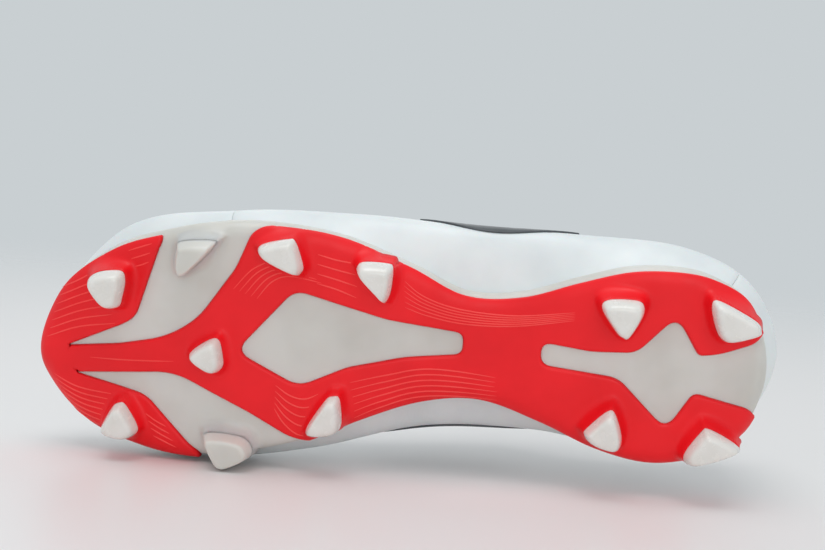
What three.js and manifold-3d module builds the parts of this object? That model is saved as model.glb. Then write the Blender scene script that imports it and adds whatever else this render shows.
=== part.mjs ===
// A left soccer cleat for firm ground: a moulded sole plate with a coloured overlay and twelve studs,
// and a lasted upper with its stiffeners, linings, tongue and insole.
// Millimetres. +X points to the toe, +Y to the outer (lateral) side and +Z up; the shoe stands on its studs.

import * as THREE from 'three';
import { mergeVertices } from 'three/addons/utils/BufferGeometryUtils.js';
import Module from 'manifold-3d';

const wasm = await Module();
wasm.setup();

// ---- Driving dimensions ----

const soleLength = 279.5; // of the sole, heel to toe
const soleWidth = 95.5; // across the ball of the foot
const upperHeight = 84; // of the heel collar above the ball's underside
const studHeight = 11.5; // from the ground to the ball's underside

const gap = 0.3; // between pieces that are bonded or stitched together
const overlayThickness = 1.2;
const plateThickness = 2.8; // of the plate's floor
const rimThickness = 1.6; // of the plate's upturned rim
const rimHeight = 8; // of the rim above the sole's underside
const edgeRadius = 7; // how far in the sole's rounded edge reaches
const edgeHeight = 6; // how far up it reaches
const boardThickness = 1.5;
const linerThickness = 4;
const linerPlay = 0.8; // around the loose insole, against the lining

const skinThickness = 1.4; // of the outer upper
const stiffenerThickness = 1.0; // of the toe puff and the heel counter
const liningThickness = 0.8;
const collarPadding = 2.2; // that the collar's foam adds inwards
const filmThickness = 0.6;
const eyestayThickness = 1.0;
const tongueThickness = 4;
const tonguePlay = 3.2; // between the tongue's top and the lining above it
const tongueSeat = 1.1; // the same at its stitched base

const capHeight = 6.5; // of a stud's white cap
const capTaper = 1.4; // by which a cap narrows to its tip
const pedestalFlare = 1.35; // of the pedestal's foot, against the cap
const eyeletRadius = 2.2;
const eyeletsPerSide = 5;

// The outlines below are drawn for a sole of this size, and follow the driving dimensions.
const drawnLength = 279.5;
const drawnWidth = 95.5;
const drawnUpperHeight = 84;
const alongScale = soleLength / drawnLength;
const acrossScale = soleWidth / drawnWidth;
const upScale = upperHeight / drawnUpperHeight;

const stations = 16; // drawn around the upper
const stationStep = 0.25; // between the sole's and the upper's facets, in stations
const rowStep = 0.1; // between the upper's rows, along a section
const ringPoints = stations / stationStep;

// ---- Small helpers ----

const scaled = ([x, y]) => [x * alongScale, y * acrossScale];

// A smooth height through [x, height] knots.
function smoothProfile(knots) {
  const slope = (i) => {
    const a = knots[Math.max(i - 1, 0)];
    const b = knots[Math.min(i + 1, knots.length - 1)];
    return (b[1] - a[1]) / (b[0] - a[0]);
  };
  return (x) => {
    let i = 0;
    while (i < knots.length - 2 && x > knots[i + 1][0]) i++;
    const [x0, h0] = knots[i];
    const [x1, h1] = knots[i + 1];
    const w = x1 - x0;
    const t = THREE.MathUtils.clamp((x - x0) / w, 0, 1);
    const hermite = (2 * t - 3) * t * t;
    return h0 * (1 + hermite) - h1 * hermite
      + w * t * (1 - t) * (slope(i) * (1 - t) - slope(i + 1) * t);
  };
}

// A closed curve that passes each point at equal steps of its parameter.
const closedCurve = (points) => new THREE.CatmullRomCurve3(points, true, 'catmullrom', 0.5);

function solidOf(geometry) {
  geometry.deleteAttribute('normal');
  geometry.deleteAttribute('uv');
  const merged = mergeVertices(geometry, 1e-4);
  const mesh = new wasm.Mesh({
    numProp: 3,
    vertProperties: merged.attributes.position.array,
    triVerts: new Uint32Array(merged.index.array),
  });
  return new wasm.Manifold(mesh);
}

function geometryOf(solid) {
  const mesh = solid.getMesh();
  const geometry = new THREE.BufferGeometry();
  geometry.setAttribute('position', new THREE.BufferAttribute(mesh.vertProperties, 3));
  geometry.setIndex(new THREE.BufferAttribute(mesh.triVerts, 1));
  return geometry;
}

// Quads between rows of points, each row closed on itself or open.
function stitch(rows, closed) {
  const positions = rows.flat().flatMap((p) => [p.x, p.y, p.z]);
  const width = rows[0].length;
  const index = [];
  for (let i = 0; i < rows.length - 1; i++) {
    for (let k = 0; k < (closed ? width : width - 1); k++) {
      const a = i * width + k;
      const b = i * width + (k + 1) % width;
      index.push(a, a + width, b, b, a + width, b + width);
    }
  }
  const geometry = new THREE.BufferGeometry();
  geometry.setAttribute('position', new THREE.Float32BufferAttribute(positions, 3));
  geometry.setIndex(index);
  return geometry;
}

// The solid of a closed surface, turned to face outwards.
function closedSolid(geometry) {
  const position = geometry.attributes.position;
  const index = geometry.index.array;
  const corner = (i) => new THREE.Vector3().fromBufferAttribute(position, index[i]);
  let volume = 0;
  for (let i = 0; i < index.length; i += 3) {
    volume += corner(i).dot(corner(i + 1).cross(corner(i + 2)));
  }
  if (volume < 0) {
    for (let i = 0; i < index.length; i += 3) {
      [index[i + 1], index[i + 2]] = [index[i + 2], index[i + 1]];
    }
  }
  return solidOf(geometry);
}

// Rings stacked into a solid, with a flat fan over the first and the last.
function loft(rings) {
  const centre = (ring) => {
    const sum = ring.reduce((total, p) => total.add(p), new THREE.Vector3());
    return sum.divideScalar(ring.length);
  };
  const first = centre(rings[0]);
  const last = centre(rings[rings.length - 1]);
  const geometry = stitch(rings, true);
  const count = rings[0].length;
  const positions = [...geometry.attributes.position.array, ...first.toArray(), ...last.toArray()];
  const index = [...geometry.index.array];
  const lastRing = (rings.length - 1) * count;
  const firstCentre = rings.length * count;
  for (let k = 0; k < count; k++) {
    const next = (k + 1) % count;
    index.push(k, next, firstCentre);
    index.push(lastRing + next, lastRing + k, firstCentre + 1);
  }
  geometry.setAttribute('position', new THREE.Float32BufferAttribute(positions, 3));
  geometry.setIndex(index);
  return closedSolid(geometry);
}

// A shape with each corner rounded by the length that its third number gives.
function roundedShape(points) {
  const shape = new THREE.Shape();
  points.forEach(([x, y, cut = 3], i) => {
    const corner = new THREE.Vector2(...scaled([x, y]));
    const before = new THREE.Vector2(...scaled(points[(i + points.length - 1) % points.length]));
    const after = new THREE.Vector2(...scaled(points[(i + 1) % points.length]));
    const toBefore = Math.min(cut, corner.distanceTo(before) / 2);
    const toAfter = Math.min(cut, corner.distanceTo(after) / 2);
    const start = corner.clone().add(before.sub(corner).setLength(toBefore));
    const end = corner.clone().add(after.sub(corner).setLength(toAfter));
    if (i === 0) shape.moveTo(start.x, start.y);
    else shape.lineTo(start.x, start.y);
    shape.quadraticCurveTo(corner.x, corner.y, end.x, end.y);
  });
  return shape;
}

function prism(points, bottom, top) {
  const options = { depth: top - bottom, bevelEnabled: false, curveSegments: 3 };
  return solidOf(new THREE.ExtrudeGeometry(roundedShape(points), options).translate(0, 0, bottom));
}

// ---- The sole's shape ----

// Heel to toe along the lateral side and back along the medial side, seen from above.
const soleOutline = [
  [-134.5, -1], [-131.5, 12.5], [-124, 26], [-112, 33.5], [-99, 36.8], [-80, 36], [-60, 30], [-40, 23],
  [-20, 22], [0, 31], [25, 40.5], [48, 44], [70, 43.5], [94, 38], [115, 29.5], [135, 12.5],
  [145, -11.5], [141, -27.5], [125, -42.5], [103, -49.5], [80, -51.5], [60, -48.5], [38, -42], [17, -32],
  [-5, -24], [-27, -22], [-50, -28.5], [-72, -37], [-93, -40.5], [-113, -36], [-127, -26.5], [-133, -13.5],
].map(scaled);

// The sole's underside above the ball, from the heel over the waist to the toe spring.
const soleProfile = smoothProfile([
  [-134, 5.5], [-120, 3], [-95, 2], [-60, 3.5], [-25, 5.5], [10, 2], [38, 0], [68, 0], [92, 2.5],
  [116, 7.5], [140, 13],
]);
const soleHeight = (x) => studHeight + soleProfile(x / alongScale);

const soleEdge = closedCurve(soleOutline.map(([x, y]) => new THREE.Vector3(x, y, 0)));

// The line halfway between the two sides, drawn in from the ends.
function spinePoint(t) {
  const middle = soleEdge.getPoint(t).add(soleEdge.getPoint(1 - t)).multiplyScalar(0.5);
  middle.x *= 0.86;
  return middle;
}

// A point inside the sole's edge, square to it, and above the sole's underside.
function solePoint(t, inset, rise) {
  const along = soleEdge.getTangent(t % 1);
  const inward = new THREE.Vector3(along.y, -along.x, 0);
  const point = soleEdge.getPoint(t % 1).addScaledVector(inward, inset);
  point.z = soleHeight(point.x) + rise;
  return point;
}

const ringOf = (pointAt) => Array.from({ length: ringPoints }, (_, k) => pointAt(k / ringPoints));

const soleRing = (inset, rise) => ringOf((t) => solePoint(t, inset, rise));

// A ring part of the way from the rounded edge to the spine.
function innerRing(share, inset, rise) {
  return ringOf((t) => {
    const point = solePoint(t, inset, 0).lerp(spinePoint(t).setZ(0), share);
    point.z = soleHeight(point.x) + rise;
    return point;
  });
}

// The rounded edge at a depth under the sole's outer surface, from its floor (0) to its side (90 degrees).
function edgeRing(depth, degrees) {
  const angle = THREE.MathUtils.degToRad(degrees);
  const inset = edgeRadius - (edgeRadius - depth) * Math.sin(angle);
  const rise = edgeHeight - (edgeHeight - depth) * Math.cos(angle);
  return soleRing(inset, rise);
}

const edgeAngles = [0, 30, 60, 90];

const floorRings = (inset, rise) => [innerRing(1, inset, rise), innerRing(0.5, inset, rise)];

const foldedSolid = (rings) => closedSolid(stitch(rings, true));

// ---- Studs ----

// Each cap: its name, its centre, the height of its tip and its outline around the centre.
const caps = [
  { name: 'toe_lateral', at: [114, 15], tip: 4,
    outline: [[7, 1], [4, 5.5], [-5, 7], [-7, 3.5], [-6, -3], [-4.5, -7], [1, -7]] },
  { name: 'toe_medial', at: [108.5, -36.5], tip: 4,
    outline: [[0.5, 7], [-2, 6.5], [-6.5, -1], [-6.5, -4.5], [-2, -7], [5, -6], [7, -3], [3, 5]] },
  { name: 'ball_centre', at: [75, -7.5], tip: 1,
    outline: [[6.5, -1], [4.5, 2.5], [-1.5, 6.5], [-4.5, 6], [-6, 0], [-6, -4], [-3, -6.5], [1.5, -5]] },
  { name: 'ball_lateral', at: [48, 32.5], tip: 0,
    outline: [[8, 3.5], [-2, 6.5], [-5, 5.5], [-8, -3], [-7.5, -5.5], [-5, -6.5], [7, -1]] },
  { name: 'midfoot_lateral', at: [13.5, 25], tip: 0,
    outline: [[6.5, 6], [4, 7.5], [-4, 7.5], [-6.5, 6], [-6, -3], [-4, -7.5], [-2.5, -6], [6, 2.5]] },
  { name: 'midfoot_medial', at: [30, -27.5], tip: 0,
    outline: [[-3, 8], [-5.5, 7], [-6.5, -3], [-3, -7], [5, -8], [6.5, -5], [0, 6]] },
  { name: 'heel_front_lateral', at: [-77, 18], tip: 0,
    outline: [[7.5, 3], [5.5, 6.5], [-4.5, 7], [-7.5, 5], [-7, 0.5], [-3, -7], [-0.5, -7], [2, -5]] },
  { name: 'heel_rear_lateral', at: [-117.5, 19.5], tip: 0,
    outline: [[9, 5.5], [6.5, 7.5], [-7, 1], [-9.5, -2.5], [-8.5, -4.5], [1, -7.5], [5, -6], [7.5, -1]] },
  { name: 'heel_front_medial', at: [-73.5, -25], tip: 0,
    outline: [[-1, 7.5], [-4, 6.5], [-7, -2.5], [-5, -7.5], [3.5, -5.5], [7, -2], [6, 0.5]] },
  { name: 'heel_rear_medial', at: [-113, -28.5], tip: 0,
    outline: [[1, 7], [-9, 2], [-9.5, -1], [5.5, -7], [9.5, -4], [4, 5.5]] },
];

// The two blades that are moulded in one with the plate.
const blades = [
  { at: [80.5, 29.5], outline: [[6.5, 3], [4.5, 6], [-7, 7], [-7.5, 5], [-1.5, -2], [4, -7], [7, -5.5]] },
  { at: [66, -44], outline: [[9, 6], [6, -3.5], [3, -6.5], [-1, -6], [-8, -2], [-9, 2], [-4.5, 6]] },
];

// A stud's outline as a ring at a height, grown or shrunk all round.
function studRing({ at, outline }, grow, height, count = 16) {
  const [cx, cy] = scaled(at);
  const curve = closedCurve(outline.map(([x, y]) => new THREE.Vector3(x, y, 0)));
  return Array.from({ length: count }, (_, k) => {
    const point = curve.getPoint(k / count);
    point.setLength(point.length() + grow);
    return new THREE.Vector3(cx + point.x, cy + point.y, height);
  });
}

const studBody = (stud, tip, height) => loft([
  studRing(stud, -capTaper - 1, tip),
  studRing(stud, -capTaper, tip + 0.8),
  studRing(stud, 0, tip + height),
]);

// The flared foot of a stud, from the cap up into the sole by some reach.
function pedestal(stud, bottom, grow, reach) {
  const top = soleHeight(scaled(stud.at)[0]) + reach;
  const rise = top - bottom;
  return loft([
    studRing(stud, grow, bottom),
    studRing(stud, grow + rise * 0.15, bottom + rise * 0.5),
    studRing(stud, grow + rise * (pedestalFlare - 1), top),
  ]);
}

// ---- Sole pieces ----

// The places that the overlay leaves open: lateral and medial forefoot, heel and the middle window.
const overlayOpenings = [
  [[132.5, -12, 1], [111, -8.5], [92, -3.5, 8], [80, 5, 6], [66, 25.5], [60, 39, 2], [58, 60], [98, 60],
    [93.5, 35, 2], [104.5, 3, 3], [109, -0.5, 3]],
  [[129, -22.5, 1], [110.5, -20], [89, -17, 8], [60, -30], [42, -39.5, 3], [40, -65], [74, -65],
    [78.5, -49, 1], [100, -27.5, 4], [110.5, -25.5]],
  [[-160, 26], [-131.5, 16, 3], [-130, 10.5, 4], [-114, 4.5], [-106.5, 3.5, 2], [-97.5, 18, 6], [-84, 3, 4],
    [-67.5, 2], [-49, 4, 4], [-49, -4.5, 4], [-78, -7, 4], [-97, -25.5, 6], [-106, -10.5, 3],
    [-128.5, -16.5, 2], [-132, -21, 1], [-160, -30]],
  [[43.5, 18.5, 5], [9, 9], [-19.5, 5, 3], [-19.5, -3, 3], [2, -5], [23, -10], [41, -18.5, 5],
    [65, -6.5, 6]],
];

function overlaySolid() {
  const outer = edgeAngles.map((degrees) => edgeRing(0, degrees));
  const inner = edgeAngles.map((degrees) => edgeRing(overlayThickness, degrees));
  let sheet = foldedSolid([
    ...floorRings(edgeRadius, 0),
    ...outer,
    ...inner.reverse(),
    ...floorRings(edgeRadius, overlayThickness).reverse(),
  ]);
  const above = studHeight + 60;
  for (const opening of overlayOpenings) sheet = sheet.subtract(prism(opening, 0, above));
  for (const cap of caps) {
    sheet = sheet.add(pedestal(cap, cap.tip + capHeight + gap, 0.5, 2 * overlayThickness));
  }
  return sheet.subtract(plateSpace(overlayThickness));
}

// All that lies inside the sole's outer surface by more than a depth, up to well above the rim.
function plateSpace(depth) {
  const lid = 30;
  return foldedSolid([
    ...floorRings(edgeRadius, depth),
    ...edgeAngles.map((degrees) => edgeRing(depth, degrees)),
    soleRing(depth, lid),
    ...floorRings(edgeRadius, lid).reverse(),
  ]);
}

function plateSolid() {
  const outerDepth = overlayThickness + gap;
  const floor = outerDepth + plateThickness;
  const wall = outerDepth + rimThickness;
  const dish = foldedSolid([
    ...floorRings(edgeRadius, outerDepth),
    ...edgeAngles.map((degrees) => edgeRing(outerDepth, degrees)),
    soleRing(outerDepth, rimHeight),
    soleRing(wall, rimHeight),
    soleRing(wall, floor + 0.7),
    soleRing(wall + 0.7, floor),
    ...floorRings(edgeRadius, floor).reverse(),
  ]);
  const inside = plateSpace(floor - gap);
  let plate = dish;
  for (const blade of blades) {
    const foot = pedestal(blade, capHeight, 0.2, floor).subtract(inside);
    plate = plate.add(studBody(blade, 0, capHeight + 0.01)).add(foot);
  }
  return plate;
}

const floorTop = overlayThickness + gap + plateThickness;
const featherInset = overlayThickness + gap + rimThickness + gap;

function boardSolid() {
  const inset = featherInset + skinThickness + 2 * gap;
  const bottom = floorTop + gap;
  const top = bottom + boardThickness;
  return foldedSolid([
    ...floorRings(inset, bottom),
    soleRing(inset, bottom),
    soleRing(inset, top),
    ...floorRings(inset, top).reverse(),
  ]);
}

const boardTop = floorTop + gap + boardThickness;
const liningDepth = skinThickness + stiffenerThickness + 2 * gap + liningThickness;

function sockliner() {
  const inset = featherInset + liningDepth + linerPlay;
  const bottom = boardTop + gap;
  const top = bottom + linerThickness;
  return foldedSolid([
    ...floorRings(inset, bottom),
    soleRing(inset + 1, bottom),
    soleRing(inset, bottom + 1.5),
    soleRing(inset + 0.6, top + 1.2),
    soleRing(inset + 2.4, top + 1.2),
    ...floorRings(inset + 7, top).reverse(),
  ]);
}

// ---- The upper's shape ----

// The widest line around the upper, with its height above the ball's underside.
const widestLine = [
  [-139, -1, 27], [-127, 26, 26], [-100, 39, 25], [-60, 41, 24], [-20, 41, 22], [25, 44, 20],
  [70, 43.5, 17], [115, 32, 23], [144.5, -11.5, 27], [124, -43.5, 24], [80, -54, 18], [38, -49, 19],
  [-5, -38, 24], [-50, -37, 26], [-95, -43, 26], [-127, -28, 26],
];

// The top line: the collar, the two sides of the throat and the ridge of the vamp, which both sides share.
const topLine = [
  [-131, -1, 84], [-123, 14, 79], [-100, 26, 68], [-68, 28, 65], [-36, 19, 84], [2, 11, 74],
  [40, -2, 59], [92, -5, 48], [125, -9.5, 38], [92, -5, 48], [40, -2, 59], [2, -14, 74],
  [-36, -20, 84], [-68, -29, 66], [-100, -27, 69], [-123, -15, 79],
];

const upperLine = (points) => closedCurve(points.map(([x, y, h]) => {
  const [sx, sy] = scaled([x, y]);
  return new THREE.Vector3(sx, sy, studHeight + h * upScale);
}));
const widest = upperLine(widestLine);
const top = upperLine(topLine);

const at = (station) => station / stations;
const throatStation = 6; // where the vamp's ridge meets the throat
const wrap = (t) => ((t % 1) + 1) % 1;
const mirrored = (t) => wrap(1 - t);
const onVamp = (t) => t >= at(throatStation) && t <= at(stations - throatStation);

function topPoint(t) {
  const point = top.getPoint(wrap(t));
  return onVamp(wrap(t)) ? point.add(top.getPoint(mirrored(t))).multiplyScalar(0.5) : point;
}

// How much a section is an arch, as over the toes, and how much a wall, as around the heel.
const archShare = (t) => {
  const fromToe = Math.abs(wrap(t) - 0.5) * stations;
  return THREE.MathUtils.smoothstep(-fromToe, -4.5, -2);
};

const featherRise = floorTop + gap + 0.5; // of a section's start above the sole's underside
const rimRise = rimHeight + 2 * gap; // of its second point, just above the plate's rim

// A section of the upper from the feather edge over the widest point to the top line.
const sections = new Map();
function sectionAt(t) {
  const key = wrap(t).toFixed(6);
  if (!sections.has(key)) {
    const share = archShare(t);
    const wide = widest.getPoint(wrap(t));
    const high = topPoint(t);
    const between = (across, up) => new THREE.Vector3(
      THREE.MathUtils.lerp(wide.x, high.x, across),
      THREE.MathUtils.lerp(wide.y, high.y, across),
      THREE.MathUtils.lerp(wide.z, high.z, up),
    );
    const { lerp } = THREE.MathUtils;
    sections.set(key, new THREE.CatmullRomCurve3([
      solePoint(wrap(t), featherInset, featherRise),
      solePoint(wrap(t), featherInset, rimRise),
      wide,
      between(lerp(0.2, 0.14, share), lerp(0.34, 0.5, share)),
      between(lerp(0.58, 0.5, share), lerp(0.68, 0.866, share)),
      high,
    ], false, 'centripetal'));
  }
  return sections.get(key);
}
const rimShare = 0.2; // where along a section it leaves the plate's rim
const wideShare = 0.4; // where along a section its widest point lies
// Where the inner layers start along a section, just above the board.
const insideLow = rimShare * (boardTop + 2.5 * gap - featherRise) / (rimRise - featherRise);

const upperPoint = (t, v) => sectionAt(t).getPoint(THREE.MathUtils.clamp(v, 0, 1));

function plainNormal(t, v) {
  const step = 0.004;
  const along = upperPoint(t + step, v).sub(upperPoint(t - step, v));
  const up = upperPoint(t, Math.min(v + step, 1)).sub(upperPoint(t, Math.max(v - step, 0)));
  return up.cross(along).normalize();
}

// A point at a distance out of the upper's skin. Both sides of the vamp's ridge share their normal there,
// taken a little below it, because the ridge turns back on itself at its front end.
function skinPoint(t, v, out) {
  const onRidge = v >= 1 && onVamp(wrap(t));
  const normal = plainNormal(t, onRidge ? 0.96 : v);
  if (onRidge) normal.add(plainNormal(mirrored(t), 0.96)).normalize();
  return upperPoint(t, v).addScaledVector(normal, out);
}

// Both ends of a range and all the multiples of a step between them, so that layers share their facets.
function gridValues(from, to, step) {
  const values = [from];
  for (let k = Math.floor(from / step) + 1; k * step < to - step * 0.1; k++) {
    if (k * step > from + step * 0.1) values.push(k * step);
  }
  return [...values, to];
}

// A piece of the upper between two depths, over stations from..to and from low to high along each section.
// Its depths may vary, and a piece that folds over the vamp's ridge has no wall at its high edge.
function patch({ from, to, low, high, outer, inner, folded = false }) {
  const depth = (value, t, v) => (typeof value === 'function' ? value(t, v) : value);
  const grid = (value) => gridValues(low, high, rowStep).map((v) => (
    gridValues(from, to, stationStep).map((station) => {
      const t = at(station);
      return skinPoint(t, v, depth(value, t, v));
    })
  ));
  const outside = grid(outer);
  const inside = grid(inner);
  const column = (rows, i) => rows.map((row) => row.at(i));
  const wall = (first, second) => stitch([first, second], false);
  const parts = [
    stitch(outside, false),
    reversed(stitch(inside, false)),
    wall(inside[0], outside[0]),
    wall(column(outside, 0), column(inside, 0)),
    wall(column(inside, -1), column(outside, -1)),
  ];
  if (!folded) parts.push(wall(outside.at(-1), inside.at(-1)));
  return closedSolid(joined(parts));
}

function reversed(geometry) {
  geometry.index.array.reverse();
  return geometry;
}

function joined(geometries) {
  const positions = [];
  const index = [];
  for (const geometry of geometries) {
    const offset = positions.length / 3;
    positions.push(...geometry.attributes.position.array);
    index.push(...Array.from(geometry.index.array, (i) => i + offset));
  }
  const geometry = new THREE.BufferGeometry();
  geometry.setAttribute('position', new THREE.Float32BufferAttribute(positions, 3));
  geometry.setIndex(index);
  return geometry;
}

// ---- Upper pieces ----

const seam = 0.02 / alongScale; // half the space between two pieces that meet, in stations
const heelStation = 1.25; // where the heel panel ends on each side
const collarFront = 4; // where the padded collar ends on each side

const stiffenerOuter = -skinThickness - gap;
const stiffenerInner = stiffenerOuter - stiffenerThickness;

// The foam's thickness, which fades out towards the ankle's front and below the collar.
function padding(t, v) {
  const side = Math.min(wrap(t), 1 - wrap(t)) * stations;
  const round = 1 - THREE.MathUtils.smoothstep(side, collarFront - 1.2, collarFront);
  return collarPadding * round * THREE.MathUtils.smoothstep(v, 0.62, 0.78);
}
const liningOuter = (t, v) => stiffenerInner - gap - padding(t, v);
const liningInner = (t, v) => liningOuter(t, v) - liningThickness;

const skin = { outer: 0, inner: -skinThickness };
const stiffener = { outer: stiffenerOuter, inner: stiffenerInner };
const lining = { outer: liningOuter, inner: liningInner };

// An eyelet hole through all the layers beside the throat.
function eyelet(side, i) {
  const station = THREE.MathUtils.lerp(4.25, 5.6, i / (eyeletsPerSide - 1));
  const t = side > 0 ? at(station) : mirrored(at(station));
  const centre = upperPoint(t, 0.93);
  const hole = new THREE.CylinderGeometry(eyeletRadius, eyeletRadius, 14, 8);
  const turn = new THREE.Quaternion().setFromUnitVectors(new THREE.Vector3(0, 1, 0), plainNormal(t, 0.93));
  return solidOf(hole.applyQuaternion(turn).translate(...centre.toArray()));
}

function punched(solid, side) {
  for (let i = 0; i < eyeletsPerSide; i++) solid = solid.subtract(eyelet(side, i));
  return solid;
}

// Stations on the lateral side, or their twins on the medial side.
const onSide = (side, from, to) => (side > 0 ? { from, to } : { from: stations - to, to: stations - from });

const quarter = (side) => punched(patch({
  ...skin, ...onSide(side, heelStation + seam, throatStation - seam),
  low: 0, high: 1,
}), side);

const eyestay = (side) => punched(patch({
  ...onSide(side, 4, throatStation - seam), outer: gap + eyestayThickness, inner: gap,
  low: 0.8, high: 1,
}), side);

// The dark film on each side, a slanted panel above the widest line.
const sideFilm = (side) => patch({
  ...onSide(side, 3, 4.5), outer: gap + filmThickness, inner: gap,
  low: wideShare, high: 0.7,
});

const vamp = () => patch({
  ...skin, from: throatStation + seam, to: stations - throatStation - seam,
  low: 0, high: 1, folded: true,
});

const toePuff = () => patch({
  ...stiffener, from: 7, to: 9, low: insideLow, high: 0.8,
});

const heelPanel = () => patch({
  ...skin, from: -heelStation + seam, to: heelStation - seam, low: 0, high: 1,
});

const heelCounter = () => patch({
  ...stiffener, from: -3, to: 3, low: insideLow, high: 0.6,
});

const vampLining = () => patch({
  ...lining, from: throatStation + seam, to: stations - throatStation - seam,
  low: insideLow, high: 1, folded: true,
});

const quarterLining = () => punched(punched(patch({
  ...lining, from: -throatStation + seam, to: throatStation - seam,
  low: insideLow, high: 1,
}), 1), -1);

const collarFoam = () => patch({
  from: -collarFront + 0.25, to: collarFront - 0.25, low: 0.7, high: 1,
  outer: stiffenerOuter, inner: (t, v) => stiffenerInner - padding(t, v),
});

// The tongue lies under the eyestays, from under the vamp to above the collar.
const tongueBase = throatStation - 0.15;
const tongueLast = 4.25; // its last station under the eyestays
const tongueRise = new THREE.Vector3(-9, 0, 8.5); // one step of its free end

function tongueSection(station, out, extra) {
  const side = (t, v) => skinPoint(t, v, out);
  const t = at(station);
  const lateral = [side(t, 0.86), side(t, 0.99)];
  const medial = [side(mirrored(t), 0.99), side(mirrored(t), 0.86)];
  const middle = lateral[1].clone().add(medial[0]).multiplyScalar(0.5).add(new THREE.Vector3(0, 0, 1.5));
  const curve = new THREE.CatmullRomCurve3([...lateral, middle, ...medial]);
  const narrowing = 1 - 0.2 * extra;
  return Array.from({ length: 9 }, (_, k) => {
    const point = curve.getPoint(k / 8);
    point.y *= narrowing;
    return point.addScaledVector(tongueRise, extra);
  });
}

// It is stitched under the lining at its base, and has its play from there on up.
function tongue() {
  const steps = 8;
  const places = Array.from({ length: steps + 1 }, (_, i) => ({
    station: THREE.MathUtils.lerp(tongueBase, tongueLast, i / steps),
    play: THREE.MathUtils.lerp(tongueSeat, tonguePlay, i / steps),
    extra: 0,
  }));
  places.push({ ...places[steps], extra: 1 }, { ...places[steps], extra: 1.9 });
  return loft(places.map(({ station, play, extra }) => {
    const upperSide = liningInner(0.5, 0) - play;
    return [
      ...tongueSection(station, upperSide, extra),
      ...tongueSection(station, upperSide - tongueThickness, extra).reverse(),
    ];
  }));
}

// ---- The shoe ----

const softWhite = { color: 0xe3e7e6, roughness: 0.45, metalness: 0 };
const looks = {
  plate: { color: 0xd9d6d0, roughness: 0.35, metalness: 0 },
  overlay: { color: 0xe6262b, roughness: 0.4, metalness: 0 },
  cap: { color: 0xe9e6e0, roughness: 0.25, metalness: 0 },
  skin: softWhite,
  film: { color: 0x3b3e40, roughness: 0.5, metalness: 0 },
  textile: { color: 0xd5d8d8, roughness: 0.9, metalness: 0 },
  foam: { color: 0xc9c9c4, roughness: 0.95, metalness: 0 },
  stiffener: { color: 0xb9b3a6, roughness: 0.8, metalness: 0 },
  board: { color: 0xdcd6c6, roughness: 0.9, metalness: 0 },
};

const shoe = new THREE.Group();

function add(name, solid, look) {
  const mesh = new THREE.Mesh(geometryOf(solid), new THREE.MeshStandardMaterial(look));
  mesh.name = name;
  shoe.add(mesh);
}

add('outsole_plate', plateSolid(), looks.plate);
add('outsole_overlay', overlaySolid(), looks.overlay);
for (const cap of caps) add(`stud_cap_${cap.name}`, studBody(cap, cap.tip, capHeight), looks.cap);
add('strobel_board', boardSolid(), looks.board);
add('sockliner', sockliner(), looks.foam);
add('vamp', vamp(), looks.skin);
add('quarter_lateral', quarter(1), looks.skin);
add('quarter_medial', quarter(-1), looks.skin);
add('heel_panel', heelPanel(), looks.skin);
add('side_film_lateral', sideFilm(1), looks.film);
add('side_film_medial', sideFilm(-1), looks.film);
add('eyestay_lateral', eyestay(1), looks.skin);
add('eyestay_medial', eyestay(-1), looks.skin);
add('toe_puff', toePuff(), looks.stiffener);
add('heel_counter', heelCounter(), looks.stiffener);
add('vamp_lining', vampLining(), looks.textile);
add('quarter_lining', quarterLining(), looks.textile);
add('collar_foam', collarFoam(), looks.foam);
add('tongue', tongue(), looks.textile);

// The origin is on the ground, under the middle of the shoe's box.
const box = new THREE.Box3().setFromObject(shoe);
const middle = box.getCenter(new THREE.Vector3());
for (const mesh of shoe.children) mesh.geometry.translate(-middle.x, -middle.y, -box.min.z);

export default shoe;
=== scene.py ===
"""A left firm-ground soccer cleat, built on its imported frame: moulded sole with its studs, and a lasted upper.

Lengths in this file are millimetres unless a name says otherwise; meshes are written in metres.
"""

import bmesh
import bpy
import numpy as np
from mathutils import Matrix, Vector, geometry


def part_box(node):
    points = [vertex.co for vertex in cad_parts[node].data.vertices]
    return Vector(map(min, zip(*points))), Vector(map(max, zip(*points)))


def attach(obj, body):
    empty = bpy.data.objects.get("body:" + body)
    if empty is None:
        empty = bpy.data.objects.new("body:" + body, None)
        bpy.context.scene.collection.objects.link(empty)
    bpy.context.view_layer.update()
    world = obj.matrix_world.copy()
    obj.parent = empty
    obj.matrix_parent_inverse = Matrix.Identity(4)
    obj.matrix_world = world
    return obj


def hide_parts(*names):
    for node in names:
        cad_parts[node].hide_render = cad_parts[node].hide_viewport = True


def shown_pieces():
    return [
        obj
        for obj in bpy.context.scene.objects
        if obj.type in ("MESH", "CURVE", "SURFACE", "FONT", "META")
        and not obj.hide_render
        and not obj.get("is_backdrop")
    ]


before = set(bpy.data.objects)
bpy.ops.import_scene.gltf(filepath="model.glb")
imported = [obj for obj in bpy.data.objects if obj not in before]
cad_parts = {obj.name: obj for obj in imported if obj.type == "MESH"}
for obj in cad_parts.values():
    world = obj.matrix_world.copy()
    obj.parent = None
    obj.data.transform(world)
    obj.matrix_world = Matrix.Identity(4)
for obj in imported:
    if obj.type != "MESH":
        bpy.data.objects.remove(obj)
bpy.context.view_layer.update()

MM = 0.001

# ---- The frame's own sizes, which the surfaces below repeat ----

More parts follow.
